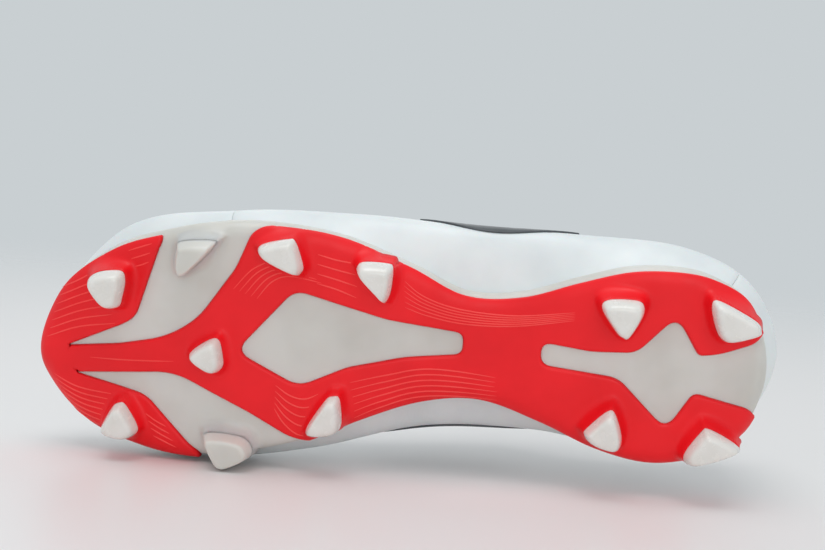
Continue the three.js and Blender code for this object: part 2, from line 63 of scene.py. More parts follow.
STUD_HEIGHT = 11.5
GAP = 0.3
OVERLAY = 1.2
PLATE_DEPTH = OVERLAY + GAP
PLATE = 2.8
RIM_WALL = 1.6
RIM_HEIGHT = 8.0
EDGE_IN = 7.0
EDGE_UP = 6.0
FLOOR_TOP = PLATE_DEPTH + PLATE
BOARD_TOP = FLOOR_TOP + GAP + 1.5
FEATHER = PLATE_DEPTH + RIM_WALL + GAP
SKIN = 1.4
STIFFENER = 1.0
LINING = 0.8
STATIONS = 16
CAP_HEIGHT = 6.5
THROAT = 6  # the station where the vamp's ridge meets the throat
HEEL_SEAM = 1.25
EYESTAY_FROM = 4
EYESTAY_SHARE = 0.8
FACING = 1.0
WIDE_SHARE = 0.4  # the share of a section at its widest point
FILM_SHARE = 0.7
EYELET_STATIONS = np.linspace(4.25, 5.6, 5)
EYELET_SHARE = 0.93
EYELET_RADIUS = 2.2
LINING_DEPTH = SKIN + STIFFENER + LINING + 2 * GAP
TONGUE_BASE = THROAT - 0.15
TONGUE_LAST = 4.25
TONGUE = 4.0
SOCKLINER = 4.0

SOLE_OUTLINE = np.array([
    (-134.5, -1), (-131.5, 12.5), (-124, 26), (-112, 33.5), (-99, 36.8), (-80, 36), (-60, 30), (-40, 23),
    (-20, 22), (0, 31), (25, 40.5), (48, 44), (70, 43.5), (94, 38), (115, 29.5), (135, 12.5),
    (145, -11.5), (141, -27.5), (125, -42.5), (103, -49.5), (80, -51.5), (60, -48.5), (38, -42), (17, -32),
    (-5, -24), (-27, -22), (-50, -28.5), (-72, -37), (-93, -40.5), (-113, -36), (-127, -26.5), (-133, -13.5),
])
SOLE_PROFILE = np.array([
    (-134, 5.5), (-120, 3), (-95, 2), (-60, 3.5), (-25, 5.5), (10, 2), (38, 0), (68, 0), (92, 2.5),
    (116, 7.5), (140, 13),
])
WIDEST_LINE = np.array([
    (-139, -1, 27), (-127, 26, 26), (-100, 39, 25), (-60, 41, 24), (-20, 41, 22), (25, 44, 20),
    (70, 43.5, 17), (115, 32, 23), (144.5, -11.5, 27), (124, -43.5, 24), (80, -54, 18), (38, -49, 19),
    (-5, -38, 24), (-50, -37, 26), (-95, -43, 26), (-127, -28, 26),
])
TOP_LINE = np.array([
    (-131, -1, 84), (-123, 14, 79), (-100, 26, 68), (-68, 28, 65), (-36, 19, 84), (2, 11, 74),
    (40, -2, 59), (92, -5, 48), (125, -9.5, 38), (92, -5, 48), (40, -2, 59), (2, -14, 74),
    (-36, -20, 84), (-68, -29, 66), (-100, -27, 69), (-123, -15, 79),
])

# Each cap: centre, height of its tip above the ground, outline around the centre.
CAPS = {
    "toe_lateral": ((114, 15), 4, [(7, 1), (4, 5.5), (-5, 7), (-7, 3.5), (-6, -3), (-4.5, -7), (1, -7)]),
    "toe_medial": ((108.5, -36.5), 4, [(0.5, 7), (-2, 6.5), (-6.5, -1), (-6.5, -4.5), (-2, -7), (5, -6),
                                       (7, -3), (3, 5)]),
    "ball_centre": ((75, -7.5), 1, [(6.5, -1), (4.5, 2.5), (-1.5, 6.5), (-4.5, 6), (-6, 0), (-6, -4),
                                    (-3, -6.5), (1.5, -5)]),
    "ball_lateral": ((48, 32.5), 0, [(8, 3.5), (-2, 6.5), (-5, 5.5), (-8, -3), (-7.5, -5.5), (-5, -6.5),
                                     (7, -1)]),
    "midfoot_lateral": ((13.5, 25), 0, [(6.5, 6), (4, 7.5), (-4, 7.5), (-6.5, 6), (-6, -3), (-4, -7.5),
                                        (-2.5, -6), (6, 2.5)]),
    "midfoot_medial": ((30, -27.5), 0, [(-3, 8), (-5.5, 7), (-6.5, -3), (-3, -7), (5, -8), (6.5, -5), (0, 6)]),
    "heel_front_lateral": ((-77, 18), 0, [(7.5, 3), (5.5, 6.5), (-4.5, 7), (-7.5, 5), (-7, 0.5), (-3, -7),
                                          (-0.5, -7), (2, -5)]),
    "heel_rear_lateral": ((-117.5, 19.5), 0, [(9, 5.5), (6.5, 7.5), (-7, 1), (-9.5, -2.5), (-8.5, -4.5),
                                              (1, -7.5), (5, -6), (7.5, -1)]),
    "heel_front_medial": ((-73.5, -25), 0, [(-1, 7.5), (-4, 6.5), (-7, -2.5), (-5, -7.5), (3.5, -5.5),
                                            (7, -2), (6, 0.5)]),
    "heel_rear_medial": ((-113, -28.5), 0, [(1, 7), (-9, 2), (-9.5, -1), (5.5, -7), (9.5, -4), (4, 5.5)]),
}
BLADES = {
    "blade_lateral": ((80.5, 29.5), 0,
                      [(6.5, 3), (4.5, 6), (-7, 7), (-7.5, 5), (-1.5, -2), (4, -7), (7, -5.5)]),
    "blade_medial": ((66, -44), 0, [(9, 6), (6, -3.5), (3, -6.5), (-1, -6), (-8, -2), (-9, 2), (-4.5, 6)]),
}
# What the overlay leaves open, each corner with the length that rounds it.
OPENINGS = [
    [(132.5, -12, 1), (111, -8.5, 3), (92, -3.5, 8), (80, 5, 6), (66, 25.5, 3), (59.3, 42, 5), (44, 44, 3),
     (44, 60, 3), (101, 60, 3), (99, 41, 3), (93.8, 35.5, 4), (104.5, 3, 3), (109, -0.5, 3)],
    [(129, -22.5, 1), (110.5, -20, 3), (89, -17, 8), (60, -30, 3), (42, -39.8, 5), (31, -42.5, 3),
     (30, -65, 3), (74, -65, 3), (78.5, -49, 1), (100, -27.5, 4), (110.5, -25.5, 3)],
    [(-160, 30, 3), (-134, 19, 4), (-129.5, 10, 5), (-114, 4.5, 3), (-106.5, 3.5, 2), (-97.5, 18, 6),
     (-84, 3, 4), (-67.5, 2, 3), (-49, 4, 4), (-49, -4.5, 4), (-78, -7, 4), (-97, -25.5, 6),
     (-106, -10.5, 3), (-128, -16, 4), (-132.5, -21.5, 4), (-160, -34, 3)],
    [(43.5, 18.5, 5), (9, 9, 3), (-19.5, 5, 3), (-19.5, -3, 3), (2, -5, 3), (23, -10, 3), (41, -18.5, 5),
     (65, -6.5, 6)],
]


# ---- Curves and profiles ----

def closed_curve(points, t):
    """Uniform Catmull-Rom through closed points, t in turns: each span is the cubic between two points whose
    slopes are half the chord across each point."""
    p = np.asarray(points, float)
    n = len(p)
    s = (np.asarray(t, float) % 1.0) * n
    i = np.floor(s).astype(int)
    w = (s - i)[..., None]
    a, b, c, d = p[(i - 1) % n], p[i % n], p[(i + 1) % n], p[(i + 2) % n]
    m0, m1 = (c - a) / 2, (d - b) / 2
    return (2 * b - 2 * c + m0 + m1) * w**3 + (3 * c - 3 * b - 2 * m0 - m1) * w**2 + m0 * w + b


def smooth(x, low, high):
    """0 below low, 1 above high, and 3s^2 - 2s^3 between."""
    s = np.clip((x - low) / (high - low), 0, 1)
    return s * s * (3 - 2 * s)


def quarter_round(distance, radius):
    """How far a surface lies below its crest, as a share of 1, at a distance from its border."""
    s = 1 - np.clip(distance / radius, 0, 1)
    return 1 - np.sqrt(1 - s * s)


def sole_height(x):
    """Height of the sole's underside above the ground: cubic spans through the profile's knots."""
    k = SOLE_PROFILE
    slope = np.empty(len(k))
    slope[1:-1] = (k[2:, 1] - k[:-2, 1]) / (k[2:, 0] - k[:-2, 0])
    slope[0] = (k[1, 1] - k[0, 1]) / (k[1, 0] - k[0, 0])
    slope[-1] = (k[-1, 1] - k[-2, 1]) / (k[-1, 0] - k[-2, 0])
    i = np.clip(np.searchsorted(k[:, 0], x) - 1, 0, len(k) - 2)
    w = k[i + 1, 0] - k[i, 0]
    t = np.clip((x - k[i, 0]) / w, 0, 1)
    hermite = (2 * t - 3) * t * t
    return (STUD_HEIGHT + k[i, 1] * (1 + hermite) - k[i + 1, 1] * hermite
            + w * t * (1 - t) * (slope[i] * (1 - t) - slope[i + 1] * t))


def edge_at(t):
    """Point of the sole's outline, and the unit vector square to it that points inwards."""
    point = closed_curve(SOLE_OUTLINE, t)
    along = closed_curve(SOLE_OUTLINE, t + 1e-4) - closed_curve(SOLE_OUTLINE, t - 1e-4)
    along /= np.linalg.norm(along, axis=-1, keepdims=True)
    return point, np.stack([along[..., 1], -along[..., 0]], -1)


EDGE_T = np.arange(1536) / 1536
EDGE_POINTS, EDGE_INWARD = edge_at(EDGE_T)
EDGE_SPEED = np.linalg.norm(np.roll(EDGE_POINTS, -1, 0) - np.roll(EDGE_POINTS, 1, 0), axis=1) * 768


def in_parts(count, size=3000):
    """Index ranges that split a long array, so that tables of distances stay small."""
    return np.array_split(np.arange(count), max(1, count // size))


def nearest_edge(plan):
    """Turn t of the outline's nearest point and the inset from it, positive inside."""
    t, inset = np.empty(len(plan)), np.empty(len(plan))
    for part in in_parts(len(plan)):
        away = plan[part, None] - EDGE_POINTS
        k = np.argmin((away**2).sum(-1), axis=1)
        off = plan[part] - EDGE_POINTS[k]
        inward = EDGE_INWARD[k]
        inset[part] = (off * inward).sum(-1)
        t[part] = EDGE_T[k] + (off[:, 1] * inward[:, 0] - off[:, 0] * inward[:, 1]) / EDGE_SPEED[k]
    return t, inset


def flatten(plan):
    """Plan points unrolled over the rounded edge: there the inset becomes the length along the arc."""
    t, inset = nearest_edge(plan)
    point, inward = edge_at(t)
    arc = np.arcsin(np.clip((EDGE_IN - inset) / EDGE_IN, 0, 1))
    unrolled = EDGE_IN - EDGE_IN * arc + np.minimum(inset, 0)
    return np.where((inset >= EDGE_IN)[:, None], plan, point + inward * unrolled[:, None])


def on_sole(flat, depth):
    """Unrolled points placed in space at a depth under the sole's outer surface: plan and profile height on
    the floor, the quarter ellipse on the rounded edge, and straight up beyond it."""
    t, inset = nearest_edge(flat)
    point, inward = edge_at(t)
    arc = np.clip((EDGE_IN - inset) / EDGE_IN, 0, np.pi / 2)
    wall = np.maximum(EDGE_IN * (1 - np.pi / 2) - inset, 0)
    in_by = EDGE_IN - (EDGE_IN - depth) * np.sin(arc)
    rise = EDGE_UP - (EDGE_UP - depth) * np.cos(arc) + wall
    on_floor = inset >= EDGE_IN
    plan = np.where(on_floor[:, None], flat, point + inward * in_by[:, None])
    height = sole_height(plan[:, 0]) + np.where(on_floor, depth, rise)
    return np.column_stack([plan, height])


def rim_loop(inset, count=720):
    """The unrolled outline moved in by an inset, or out past the arc where it is negative."""
    point, inward = edge_at(np.arange(count) / count)
    return point + inward * inset


def drawn_shift():
    """How far the drawn outlines lie from the frame, which is centred on its own box: the lasting board's
    border is the outline moved in, so the middles of their boxes tell."""
    low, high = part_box("strobel_board")
    middle = (np.array(low) + np.array(high))[:2] / 2 / MM
    point, inward = edge_at(np.arange(64) / 64)
    drawn = point + inward * (FEATHER + SKIN + 2 * GAP)
    return np.append(middle - (drawn.min(0) + drawn.max(0)) / 2, 0.0)


SHIFT = drawn_shift()


# ---- Meshes ----

def stacked(*pieces):
    """Several (points, faces) as one; a piece's faces may be a tuple of arrays with unlike corner counts."""
    points, faces, start = [], [], 0
    for p, groups in pieces:
        points.append(np.asarray(p, float).reshape(-1, 3))
        for group in groups if isinstance(groups, tuple) else (groups,):
            faces += (np.asarray(group) + start).tolist()
        start += len(points[-1])
    return np.concatenate(points), faces


def mesh_of(name, pieces, material, smooth_faces=True):
    """Several (points, faces) as one object."""
    points, faces = stacked(*pieces)
    mesh = bpy.data.meshes.new(name)
    mesh.from_pydata(((points + SHIFT) * MM).tolist(), [], faces)
    mesh.validate()
    mesh.materials.append(material)
    mesh.polygons.foreach_set("use_smooth", np.full(len(mesh.polygons), smooth_faces))
    mesh.update()
    obj = bpy.data.objects.new(name, mesh)
    bpy.context.scene.collection.objects.link(obj)
    return obj


def grid_faces(rows, columns, closed=False):
    """Quads of a rows by columns grid of points, its rows closed on themselves or open."""
    i, k = np.meshgrid(np.arange(rows - 1), np.arange(columns if closed else columns - 1), indexing="ij")
    a = i * columns + k
    b = i * columns + (k + 1) % columns
    return np.stack([a, b, b + columns, a + columns], -1).reshape(-1, 4)


def loft(rings):
    """Rings of equal count joined by quads, each end drawn together into its middle."""
    rings = np.asarray(rings, float)
    shrink = np.array([0.66, 0.33, 0.02])[:, None, None]
    first, last = rings[0].mean(0), rings[-1].mean(0)
    opening = (first + (rings[0] - first) * shrink)[::-1]
    closing = last + (rings[-1] - last) * shrink
    every = np.concatenate([opening, rings, closing])
    count = every.shape[1]
    points = every.reshape(-1, 3)
    quads = grid_faces(len(every), count, closed=True)
    ends = np.array([np.arange(count)[::-1], np.arange(len(points) - count, len(points))])
    return points, (quads, ends)


# ---- Skins of the sole, as constrained triangles over the unrolled plan ----

def rounded_loop(corners, step=0.25):
    """A polygon whose corners are quadratic curves that start and end the given length from the corner."""
    xy, cut = np.array([c[:2] for c in corners], float), np.array([c[2] for c in corners], float)
    before, after = np.roll(xy, 1, 0) - xy, np.roll(xy, -1, 0) - xy
    reach = lambda away: (away / np.linalg.norm(away, axis=1, keepdims=True)
                          * np.minimum(cut, np.linalg.norm(away, axis=1) / 2)[:, None])
    start, end = xy + reach(before), xy + reach(after)
    w = np.linspace(0, 1, 9)[None, :, None]
    bends = start[:, None] * (1 - w)**2 + 2 * xy[:, None] * w * (1 - w) + end[:, None] * w**2
    return resampled(bends.reshape(-1, 2), step, closed=True)


def resampled(points, step, closed=False):
    """Points at equal steps of length along a polyline."""
    p = np.vstack([points, points[:1]]) if closed else np.asarray(points, float)
    length = np.concatenate([[0], np.cumsum(np.linalg.norm(np.diff(p, axis=0), axis=1))])
    count = max(2, int(round(length[-1] / step)) + 1)
    at = np.linspace(0, length[-1], count)
    out = np.stack([np.interp(at, length, p[:, j]) for j in range(p.shape[1])], -1)
    return out[:-1] if closed else out


def inside(loop, xy):
    """Whether points lie in a closed loop: how often a ray to the right crosses its edges, odd or even."""
    a, b = loop, np.roll(loop, -1, 0)
    result = np.zeros(len(xy), bool)
    for part in in_parts(len(xy)):
        x, y = xy[part, 0, None], xy[part, 1, None]
        crosses = (a[:, 1] > y) != (b[:, 1] > y)
        rise = np.where(b[:, 1] == a[:, 1], 1e-12, b[:, 1] - a[:, 1])
        result[part] = (crosses & (x < a[:, 0] + (y - a[:, 1]) / rise * (b[:, 0] - a[:, 0]))).sum(1) % 2 == 1
    return result


def triangles_of(loops, loose, keep):
    """Constrained Delaunay triangles of loops and loose points, where the middle of each passes keep."""
    xy = [*loops, loose] if len(loose) else list(loops)
    edges, start = [], 0
    for loop in loops:
        k = np.arange(len(loop))
        edges += np.column_stack([start + k, start + (k + 1) % len(loop)]).tolist()
        start += len(loop)
    corners = list(map(Vector, np.concatenate(xy).tolist()))
    points, _, faces, *_ = geometry.delaunay_2d_cdt(corners, edges, [], 0, 1e-5, False)
    points, faces = np.array([tuple(p) for p in points]), np.array([f for f in faces if len(f) == 3])
    faces = faces[keep(points[faces].mean(1))]
    used, flat = np.unique(faces, return_inverse=True)
    return points[used], flat.reshape(-1, 3)


def border_edges(faces):
    """Directed edges that only one triangle has."""
    e = np.concatenate([faces[:, [0, 1]], faces[:, [1, 2]], faces[:, [2, 0]]])
    key = np.sort(e, 1)
    _, index, count = np.unique(key, axis=0, return_index=True, return_counts=True)
    return e[index[count == 1]]


def distance_to(a, b, xy):
    """Shortest distance from each point to any of the segments a to b."""
    result = np.empty(len(xy))
    ab = b - a
    square = np.maximum((ab**2).sum(1), 1e-12)
    for part in in_parts(len(xy), 1500):
        ap = xy[part, None] - a
        w = np.clip((ap * ab).sum(-1) / square, 0, 1)
        result[part] = np.sqrt(((ap - ab * w[..., None])**2).sum(-1).min(1))
    return result


def stud_radius(outline, angle):
    """Distance of a stud's outline from its centre in a direction."""
    ring = closed_curve(np.array(outline, float), np.arange(256) / 256)
    turn = np.arctan2(ring[:, 1], ring[:, 0])
    order = np.argsort(turn)
    return np.interp(angle, turn[order], np.hypot(*ring.T)[order], period=2 * np.pi)


def stud_rings(centre, outline, grows, count=72):
    """Plan points around a stud, its outline grown by each length in turn; it shrinks in proportion
    instead, so that it never turns inside out."""
    angle = np.arange(count) / count * 2 * np.pi
    radius, grows = stud_radius(outline, angle), np.asarray(grows, float)[:, None]
    reach = np.where(grows < 0, radius * (1 + grows / radius.mean()), radius + grows)
    return np.asarray(centre) + np.stack([np.cos(angle), np.sin(angle)], -1) * reach[..., None]


def grown(centre, outline, plan):
    """How far plan points lie outside a stud's outline, along the line from its centre."""
    off = plan - np.asarray(centre)
    return np.hypot(*off.T) - stud_radius(outline, np.arctan2(off[:, 1], off[:, 0]))


def pedestal(centre, outline, bottom, start, reach):
    """Foot of a stud from its cap up into the sole, its outline growing by a fifth of the height."""
    top = sole_height(np.array([centre[0]]))[0] + reach
    rise = (top - bottom) * np.array([0.0, 0.25, 0.5, 0.75, 1.0])
    rings = stud_rings(centre, outline, start + np.array([0.0, 0.02, 0.06, 0.12, 0.2]) * (top - bottom))
    heights = np.broadcast_to((bottom + rise)[:, None, None], (*rings.shape[:2], 1))
    return loft(np.concatenate([rings, heights], -1)[::-1])


FOOT_RINGS = np.array([-1.2, -0.2, 0.05, 0.3, 0.6, 0.9, 1.2, 1.6, 2.1, 2.7, 3.4, 4.3])
FLARE = 4.6


def foot_share(grow, start):
    """How much of a stud's height its foot has: all of it up to the wall, then a concave flare to nothing."""
    return np.clip(1 - (grow - start) / (FLARE - start), 0, 1)**3.2


def staggered(low, high, step):
    """Loose points in rows, every second row moved by half a step."""
    y = np.arange(low[1], high[1], step * 0.87)
    x = np.arange(low[0], high[0], step)
    xx, yy = np.meshgrid(x, y)
    xx[1::2] += step / 2
    return np.column_stack([xx.ravel(), yy.ravel()])


def away_from(points, others, reach):
    """Those points that are further than a reach from all the others."""
    keep = np.ones(len(points), bool)
    for part in in_parts(len(points), 2000):
        keep[part] = ((points[part, None] - others)**2).sum(-1).min(1) > reach**2
    return points[keep]


def sole_skin(outer_loop, holes, depth, drop, round_by, studs, foot_start, foot_base, spacing, thick):
    """A closed sheet over the unrolled sole. Its outer side lies at a depth, rounds down by drop at its
    borders, and is drawn down to the feet of the studs; its inner side follows at depth + thick."""
    def keep(middle):
        ok = inside(outer_loop, middle)
        for hole in holes:
            ok &= ~inside(hole, middle)
        return ok

    loops = [outer_loop, *holes]
    rough, rough_faces = triangles_of(loops, np.empty((0, 2)), keep)
    border = border_edges(rough_faces)
    a, b = rough[border[:, 0]], rough[border[:, 1]]
    feet = [flatten(stud_rings(c, o, FOOT_RINGS).reshape(-1, 2)) for c, _, o in studs]
    rings = np.concatenate(feet) if feet else np.empty((0, 2))
    if len(rings):
        rings = rings[distance_to(a, b, rings) > 0.35]
    middle, along = (a + b) / 2, b - a
    normal = np.column_stack([-along[:, 1], along[:, 0]]) / np.maximum(
        np.linalg.norm(along, axis=1, keepdims=True), 1e-9)
    rows = [r * round_by for r in (0.12, 0.35, 0.7, 1.05)]
    banks = np.concatenate([middle + normal * r for r in rows])
    want = np.repeat(rows, len(middle))
    banks = banks[(distance_to(a, b, banks) > want * 0.93) & keep(banks)]
    if len(rings):
        banks = away_from(banks, rings, 0.35)
    field = staggered(outer_loop.min(0), outer_loop.max(0), spacing)
    field = field[keep(field)]
    field = field[distance_to(a, b, field) > round_by * 1.3]
    if len(rings):
        field = away_from(field, rings, 1.0)
    flat, faces = triangles_of(loops, np.concatenate([banks, rings, field]), keep)
    edge = distance_to(a, b, flat)
    outside = on_sole(flat, depth + drop * quarter_round(edge, round_by))
    fade = smooth(edge, 0.2, 2.2) * smooth(nearest_edge(flat)[1], -1.5, 3.0)
    for centre, tip, outline in studs:
        share = foot_share(grown(centre, outline, outside[:, :2]), foot_start) * fade
        target = tip + foot_base
        outside[:, 2] += (target - outside[:, 2]) * share
    within = on_sole(flat, np.full(len(flat), depth + thick))
    return flat, faces, outside, within


def closed_sheet(faces, outside, within):
    """The two sides of a sheet and the wall along its borders; the outer side faces away from the foot."""
    count = len(outside)
    border = border_edges(faces)
    wall = np.column_stack([border[:, 0], border[:, 1], border[:, 1] + count, border[:, 0] + count])
    down = faces[:, ::-1]
    return np.concatenate([outside, within]), (down, faces + count, wall)


# ---- Materials ----

def linear(hex_colour):
    """sRGB hex to linear RGBA."""
    c = np.array([int(hex_colour[i:i + 2], 16) for i in (1, 3, 5)]) / 255
    c = np.where(c <= 0.04045, c / 12.92, ((c + 0.055) / 1.055)**2.4)
    return (*c, 1.0)


def node(tree, kind, settings=None, links=None):
    """Adds a node; settings name its properties or input sockets, and links its inputs' sources."""
    made = tree.nodes.new(kind)
    for key, value in (settings or {}).items():
        if isinstance(key, str) and hasattr(made, key):
            setattr(made, key, value)
        else:
            made.inputs[key].default_value = value
    for key, source in (links or {}).items():
        tree.links.new(source, made.inputs[key])
    return made


def finish_of(name, base, **sockets):
    """A named material with its shader, output and object coordinates."""
    made = bpy.data.materials.new(name)
    made.use_nodes = True
    tree = made.node_tree
    tree.nodes.clear()
    shader = node(tree, "ShaderNodeBsdfPrincipled", {"Base Color": linear(base), **sockets})
    node(tree, "ShaderNodeOutputMaterial", links={"Surface": shader.outputs[0]})
    where = node(tree, "ShaderNodeTexCoord").outputs["Object"]
    return made, tree, shader, where


def mottled(tree, shader, where, dark, light, size_mm, low=0.35, high=0.65):
    """Base colour that drifts between two shades over patches of a size."""
    patches = node(tree, "ShaderNodeTexNoise", {"Scale": 1 / (size_mm * MM), "Detail": 3.0}, {"Vector": where})
    ramp = node(tree, "ShaderNodeValToRGB", links={"Fac": patches.outputs["Fac"]})
    ramp.color_ramp.elements[0].position, ramp.color_ramp.elements[1].position = low, high
    ramp.color_ramp.elements[0].color, ramp.color_ramp.elements[1].color = linear(dark), linear(light)
    tree.links.new(ramp.outputs["Color"], shader.inputs["Base Color"])
    return ramp


def rough_between(tree, shader, where, low, high, size_mm):
    """Roughness that varies between two values over patches of a size."""
    patches = node(tree, "ShaderNodeTexNoise", {"Scale": 1 / (size_mm * MM), "Detail": 4.0}, {"Vector": where})
    spread = node(tree, "ShaderNodeMapRange", {"From Min": 0.3, "From Max": 0.7, "To Min": low, "To Max": high},
                  {"Value": patches.outputs["Fac"]})
    tree.links.new(spread.outputs["Result"], shader.inputs["Roughness"])


def raised(tree, shader, height, depth_mm, strength=1.0, normal=None):
    """A bump of a real depth, from a height between 0 and 1."""
    bump = node(tree, "ShaderNodeBump", {"Strength": strength, "Distance": depth_mm * MM}, {"Height": height})
    if normal is not None:
        tree.links.new(normal, bump.inputs["Normal"])
    tree.links.new(bump.outputs["Normal"], shader.inputs["Normal"])
    return bump.outputs["Normal"]


def red_tpu(name="red_moulded_tpu", dark="#ee0f1a", light="#f8141f"):
    """Injection-moulded TPU, coloured through: satin, with a faint flow mottle and a fine mould grain."""
    made, tree, shader, where = finish_of(name, light, **{"IOR": 1.46, "Specular IOR Level": 0.4})
    mottled(tree, shader, where, dark, light, 22)
    rough_between(tree, shader, where, 0.36, 0.5, 6)
    grain = node(tree, "ShaderNodeTexNoise", {"Scale": 1 / (0.4 * MM), "Detail": 2.0}, {"Vector": where})
    raised(tree, shader, grain.outputs["Fac"], 0.02, 0.5)
    return made


def milky_tpu():
    """Unpigmented TPU, 2 to 3 mm thick: light goes into it, so that it looks milky, under a satin skin."""
    made, tree, shader, where = finish_of(
        "milky_moulded_tpu", "#d6d3cc", **{"IOR": 1.5, "Subsurface Weight": 0.55, "Subsurface Scale": 0.003,
                                           "Subsurface Radius": (1.0, 0.9, 0.75)})
    mottled(tree, shader, where, "#cfccc5", "#dbd9d3", 30)
    rough_between(tree, shader, where, 0.28, 0.4, 8)
    grain = node(tree, "ShaderNodeTexNoise", {"Scale": 1 / (0.6 * MM), "Detail": 2.0}, {"Vector": where})
    raised(tree, shader, grain.outputs["Fac"], 0.015, 0.4)
    return made


def cap_tpu():
    """Hard white TPU from a polished mould: glossy, and a little light goes in at its edges."""
    made, tree, shader, where = finish_of(
        "glossy_hard_tpu", "#e6e3de", **{"IOR": 1.5, "Subsurface Weight": 0.25, "Subsurface Scale": 0.0015,
                                         "Subsurface Radius": (1.0, 0.9, 0.8), "Coat Weight": 0.35,
                                         "Coat Roughness": 0.12})
    mottled(tree, shader, where, "#e3e0da", "#e9e6e1", 9)
    rough_between(tree, shader, where, 0.22, 0.3, 3)
    flow = node(tree, "ShaderNodeTexNoise", {"Scale": 1 / (2.5 * MM), "Detail": 1.0}, {"Vector": where})
    raised(tree, shader, flow.outputs["Fac"], 0.01, 0.15)
    return made


def coated_microfibre(name="coated_microfibre", dark="#dfe4e5", light="#eaeeee"):
    """White polyurethane-coated microfibre: a fine pebble of about 0.7 mm under a satin coat."""
    made, tree, shader, where = finish_of(name, light, **{"IOR": 1.48, "Subsurface Weight": 0.08,
                                          "Subsurface Scale": 0.001, "Sheen Weight": 0.08, "Sheen Roughness": 0.5})
    mottled(tree, shader, where, dark, light, 26)
    rough_between(tree, shader, where, 0.4, 0.52, 5)
    pebble = node(tree, "ShaderNodeTexVoronoi", {"feature": "SMOOTH_F1", "Scale": 1 / (0.7 * MM),
                                                 "Smoothness": 0.6}, {"Vector": where})
    crease = node(tree, "ShaderNodeTexNoise", {"Scale": 1 / (9 * MM), "Detail": 3.0}, {"Vector": where})
    soft = raised(tree, shader, crease.outputs["Fac"], 0.25, 0.5)
    raised(tree, shader, pebble.outputs["Distance"], 0.05, 0.5, soft)
    return made


def printed_film():
    """Dark grey film welded on the upper: smooth, half gloss, with a fine diagonal grain."""
    made, tree, shader, where = finish_of("dark_grey_film", "#4c5053", **{"IOR": 1.5})
    mottled(tree, shader, where, "#44484b", "#565a5d", 12)
    rough_between(tree, shader, where, 0.3, 0.42, 4)
    turned = node(tree, "ShaderNodeMapping", {"Rotation": (0.0, 0.6, 0.0)}, {"Vector": where})
    lines = node(tree, "ShaderNodeTexWave", {"Scale": 1 / (2.4 * MM), "Distortion": 0.4},
                 {"Vector": turned.outputs["Vector"]})
    raised(tree, shader, lines.outputs["Fac"], 0.04, 0.5)
    return made


def knit(name, base, dark, pitch_mm, depth_mm=0.25):
    """Polyester warp knit: rows and columns of loops at a pitch, dull, with a soft sheen. Its colour falls from
    the base to a darker shade where the loops are low: painted shade in the hollows between the loops.
    """
    made, tree, shader, where = finish_of(
        name, base, **{"Sheen Weight": 0.25, "Sheen Roughness": 0.45, "IOR": 1.45})
    across = node(tree, "ShaderNodeTexWave", {"Scale": 0.314 / (pitch_mm * MM), "bands_direction": "X",
                                              "Distortion": 0.6, "Detail": 1.0}, {"Vector": where})
    up = node(tree, "ShaderNodeTexWave", {"Scale": 0.314 / (pitch_mm * MM), "bands_direction": "Z",
                                          "Distortion": 0.6, "Detail": 1.0}, {"Vector": where})
    loops = node(tree, "ShaderNodeMath", {"operation": "MULTIPLY"},
                 {0: across.outputs["Fac"], 1: up.outputs["Fac"]})
    # Colour follows the loops' height and is darker in the hollows between them: painted shade.
    ramp = node(tree, "ShaderNodeValToRGB", links={"Fac": loops.outputs["Value"]})
    ramp.color_ramp.elements[0].color, ramp.color_ramp.elements[1].color = linear(dark), linear(base)
    ramp.color_ramp.elements[1].position = 0.35
    tree.links.new(ramp.outputs["Color"], shader.inputs["Base Color"])
    rough_between(tree, shader, where, 0.78, 0.92, 3)
    raised(tree, shader, loops.outputs["Value"], depth_mm, 0.8)
    return made


def grainy(name, dark, light, size_mm, depth_mm, rough=(0.8, 0.95)):
    """A dull hidden material with a random grain of a size, such as felted fibres."""
    made, tree, shader, where = finish_of(name, light)
    mottled(tree, shader, where, dark, light, size_mm * 4)
    rough_between(tree, shader, where, *rough, size_mm * 3)
    cells = node(tree, "ShaderNodeTexVoronoi", {"Scale": 1 / (size_mm * MM)}, {"Vector": where})
    raised(tree, shader, cells.outputs["Distance"], depth_mm, 0.7)
    return made


def thread():
    """Bonded polyester thread: twisted at about 1 mm, with a slight lustre."""
    made, tree, shader, where = finish_of("bonded_polyester_thread", "#e4e6e6", **{"Sheen Weight": 0.2,
                                          "Sheen Roughness": 0.4})
    mottled(tree, shader, where, "#cfd2d3", "#eceeee", 0.8)
    rough_between(tree, shader, where, 0.45, 0.6, 1)
    twist = node(tree, "ShaderNodeTexWave", {"Scale": 0.314 / (0.5 * MM), "bands_direction": "DIAGONAL"},
                 {"Vector": where})
    raised(tree, shader, twist.outputs["Fac"], 0.08, 0.7)
    return made


RED = red_tpu()
RED_RIDGE_PAINTED_HIGHLIGHT = red_tpu("red_moulded_tpu_ridges_painted_highlight", "#fd4341", "#ff514d")  # a lighter red than the skin: a painted highlight standing in for light on the thin ridges' lit flanks
MILKY = milky_tpu()
GLOSS = cap_tpu()
UPPER = coated_microfibre()
STAY = coated_microfibre("coated_microfibre_stay", "#d9dedf", "#e5e9e9")
FILM = printed_film()
# Each knit's second colour is the painted shade in the hollows between its loops.
LINING_KNIT = knit("polyester_lining_knit", "#dadddd", "#bcc0c1", 1.0, 0.1)
TONGUE_KNIT = knit("padded_tongue_knit", "#e2e5e5", "#c2c6c7", 1.2, 0.12)
COVER = knit("brushed_insole_cover", "#d2d4d3", "#bdc0c0", 0.8, 0.06)
STIFF = grainy("thermoplastic_stiffener", "#aca697", "#bdb7a8", 0.9, 0.06, (0.6, 0.75))
BOARD = grainy("non_woven_lasting_board", "#cfc9b9", "#ddd8c9", 0.7, 0.12)
THREAD = thread()


# ---- The sole ----

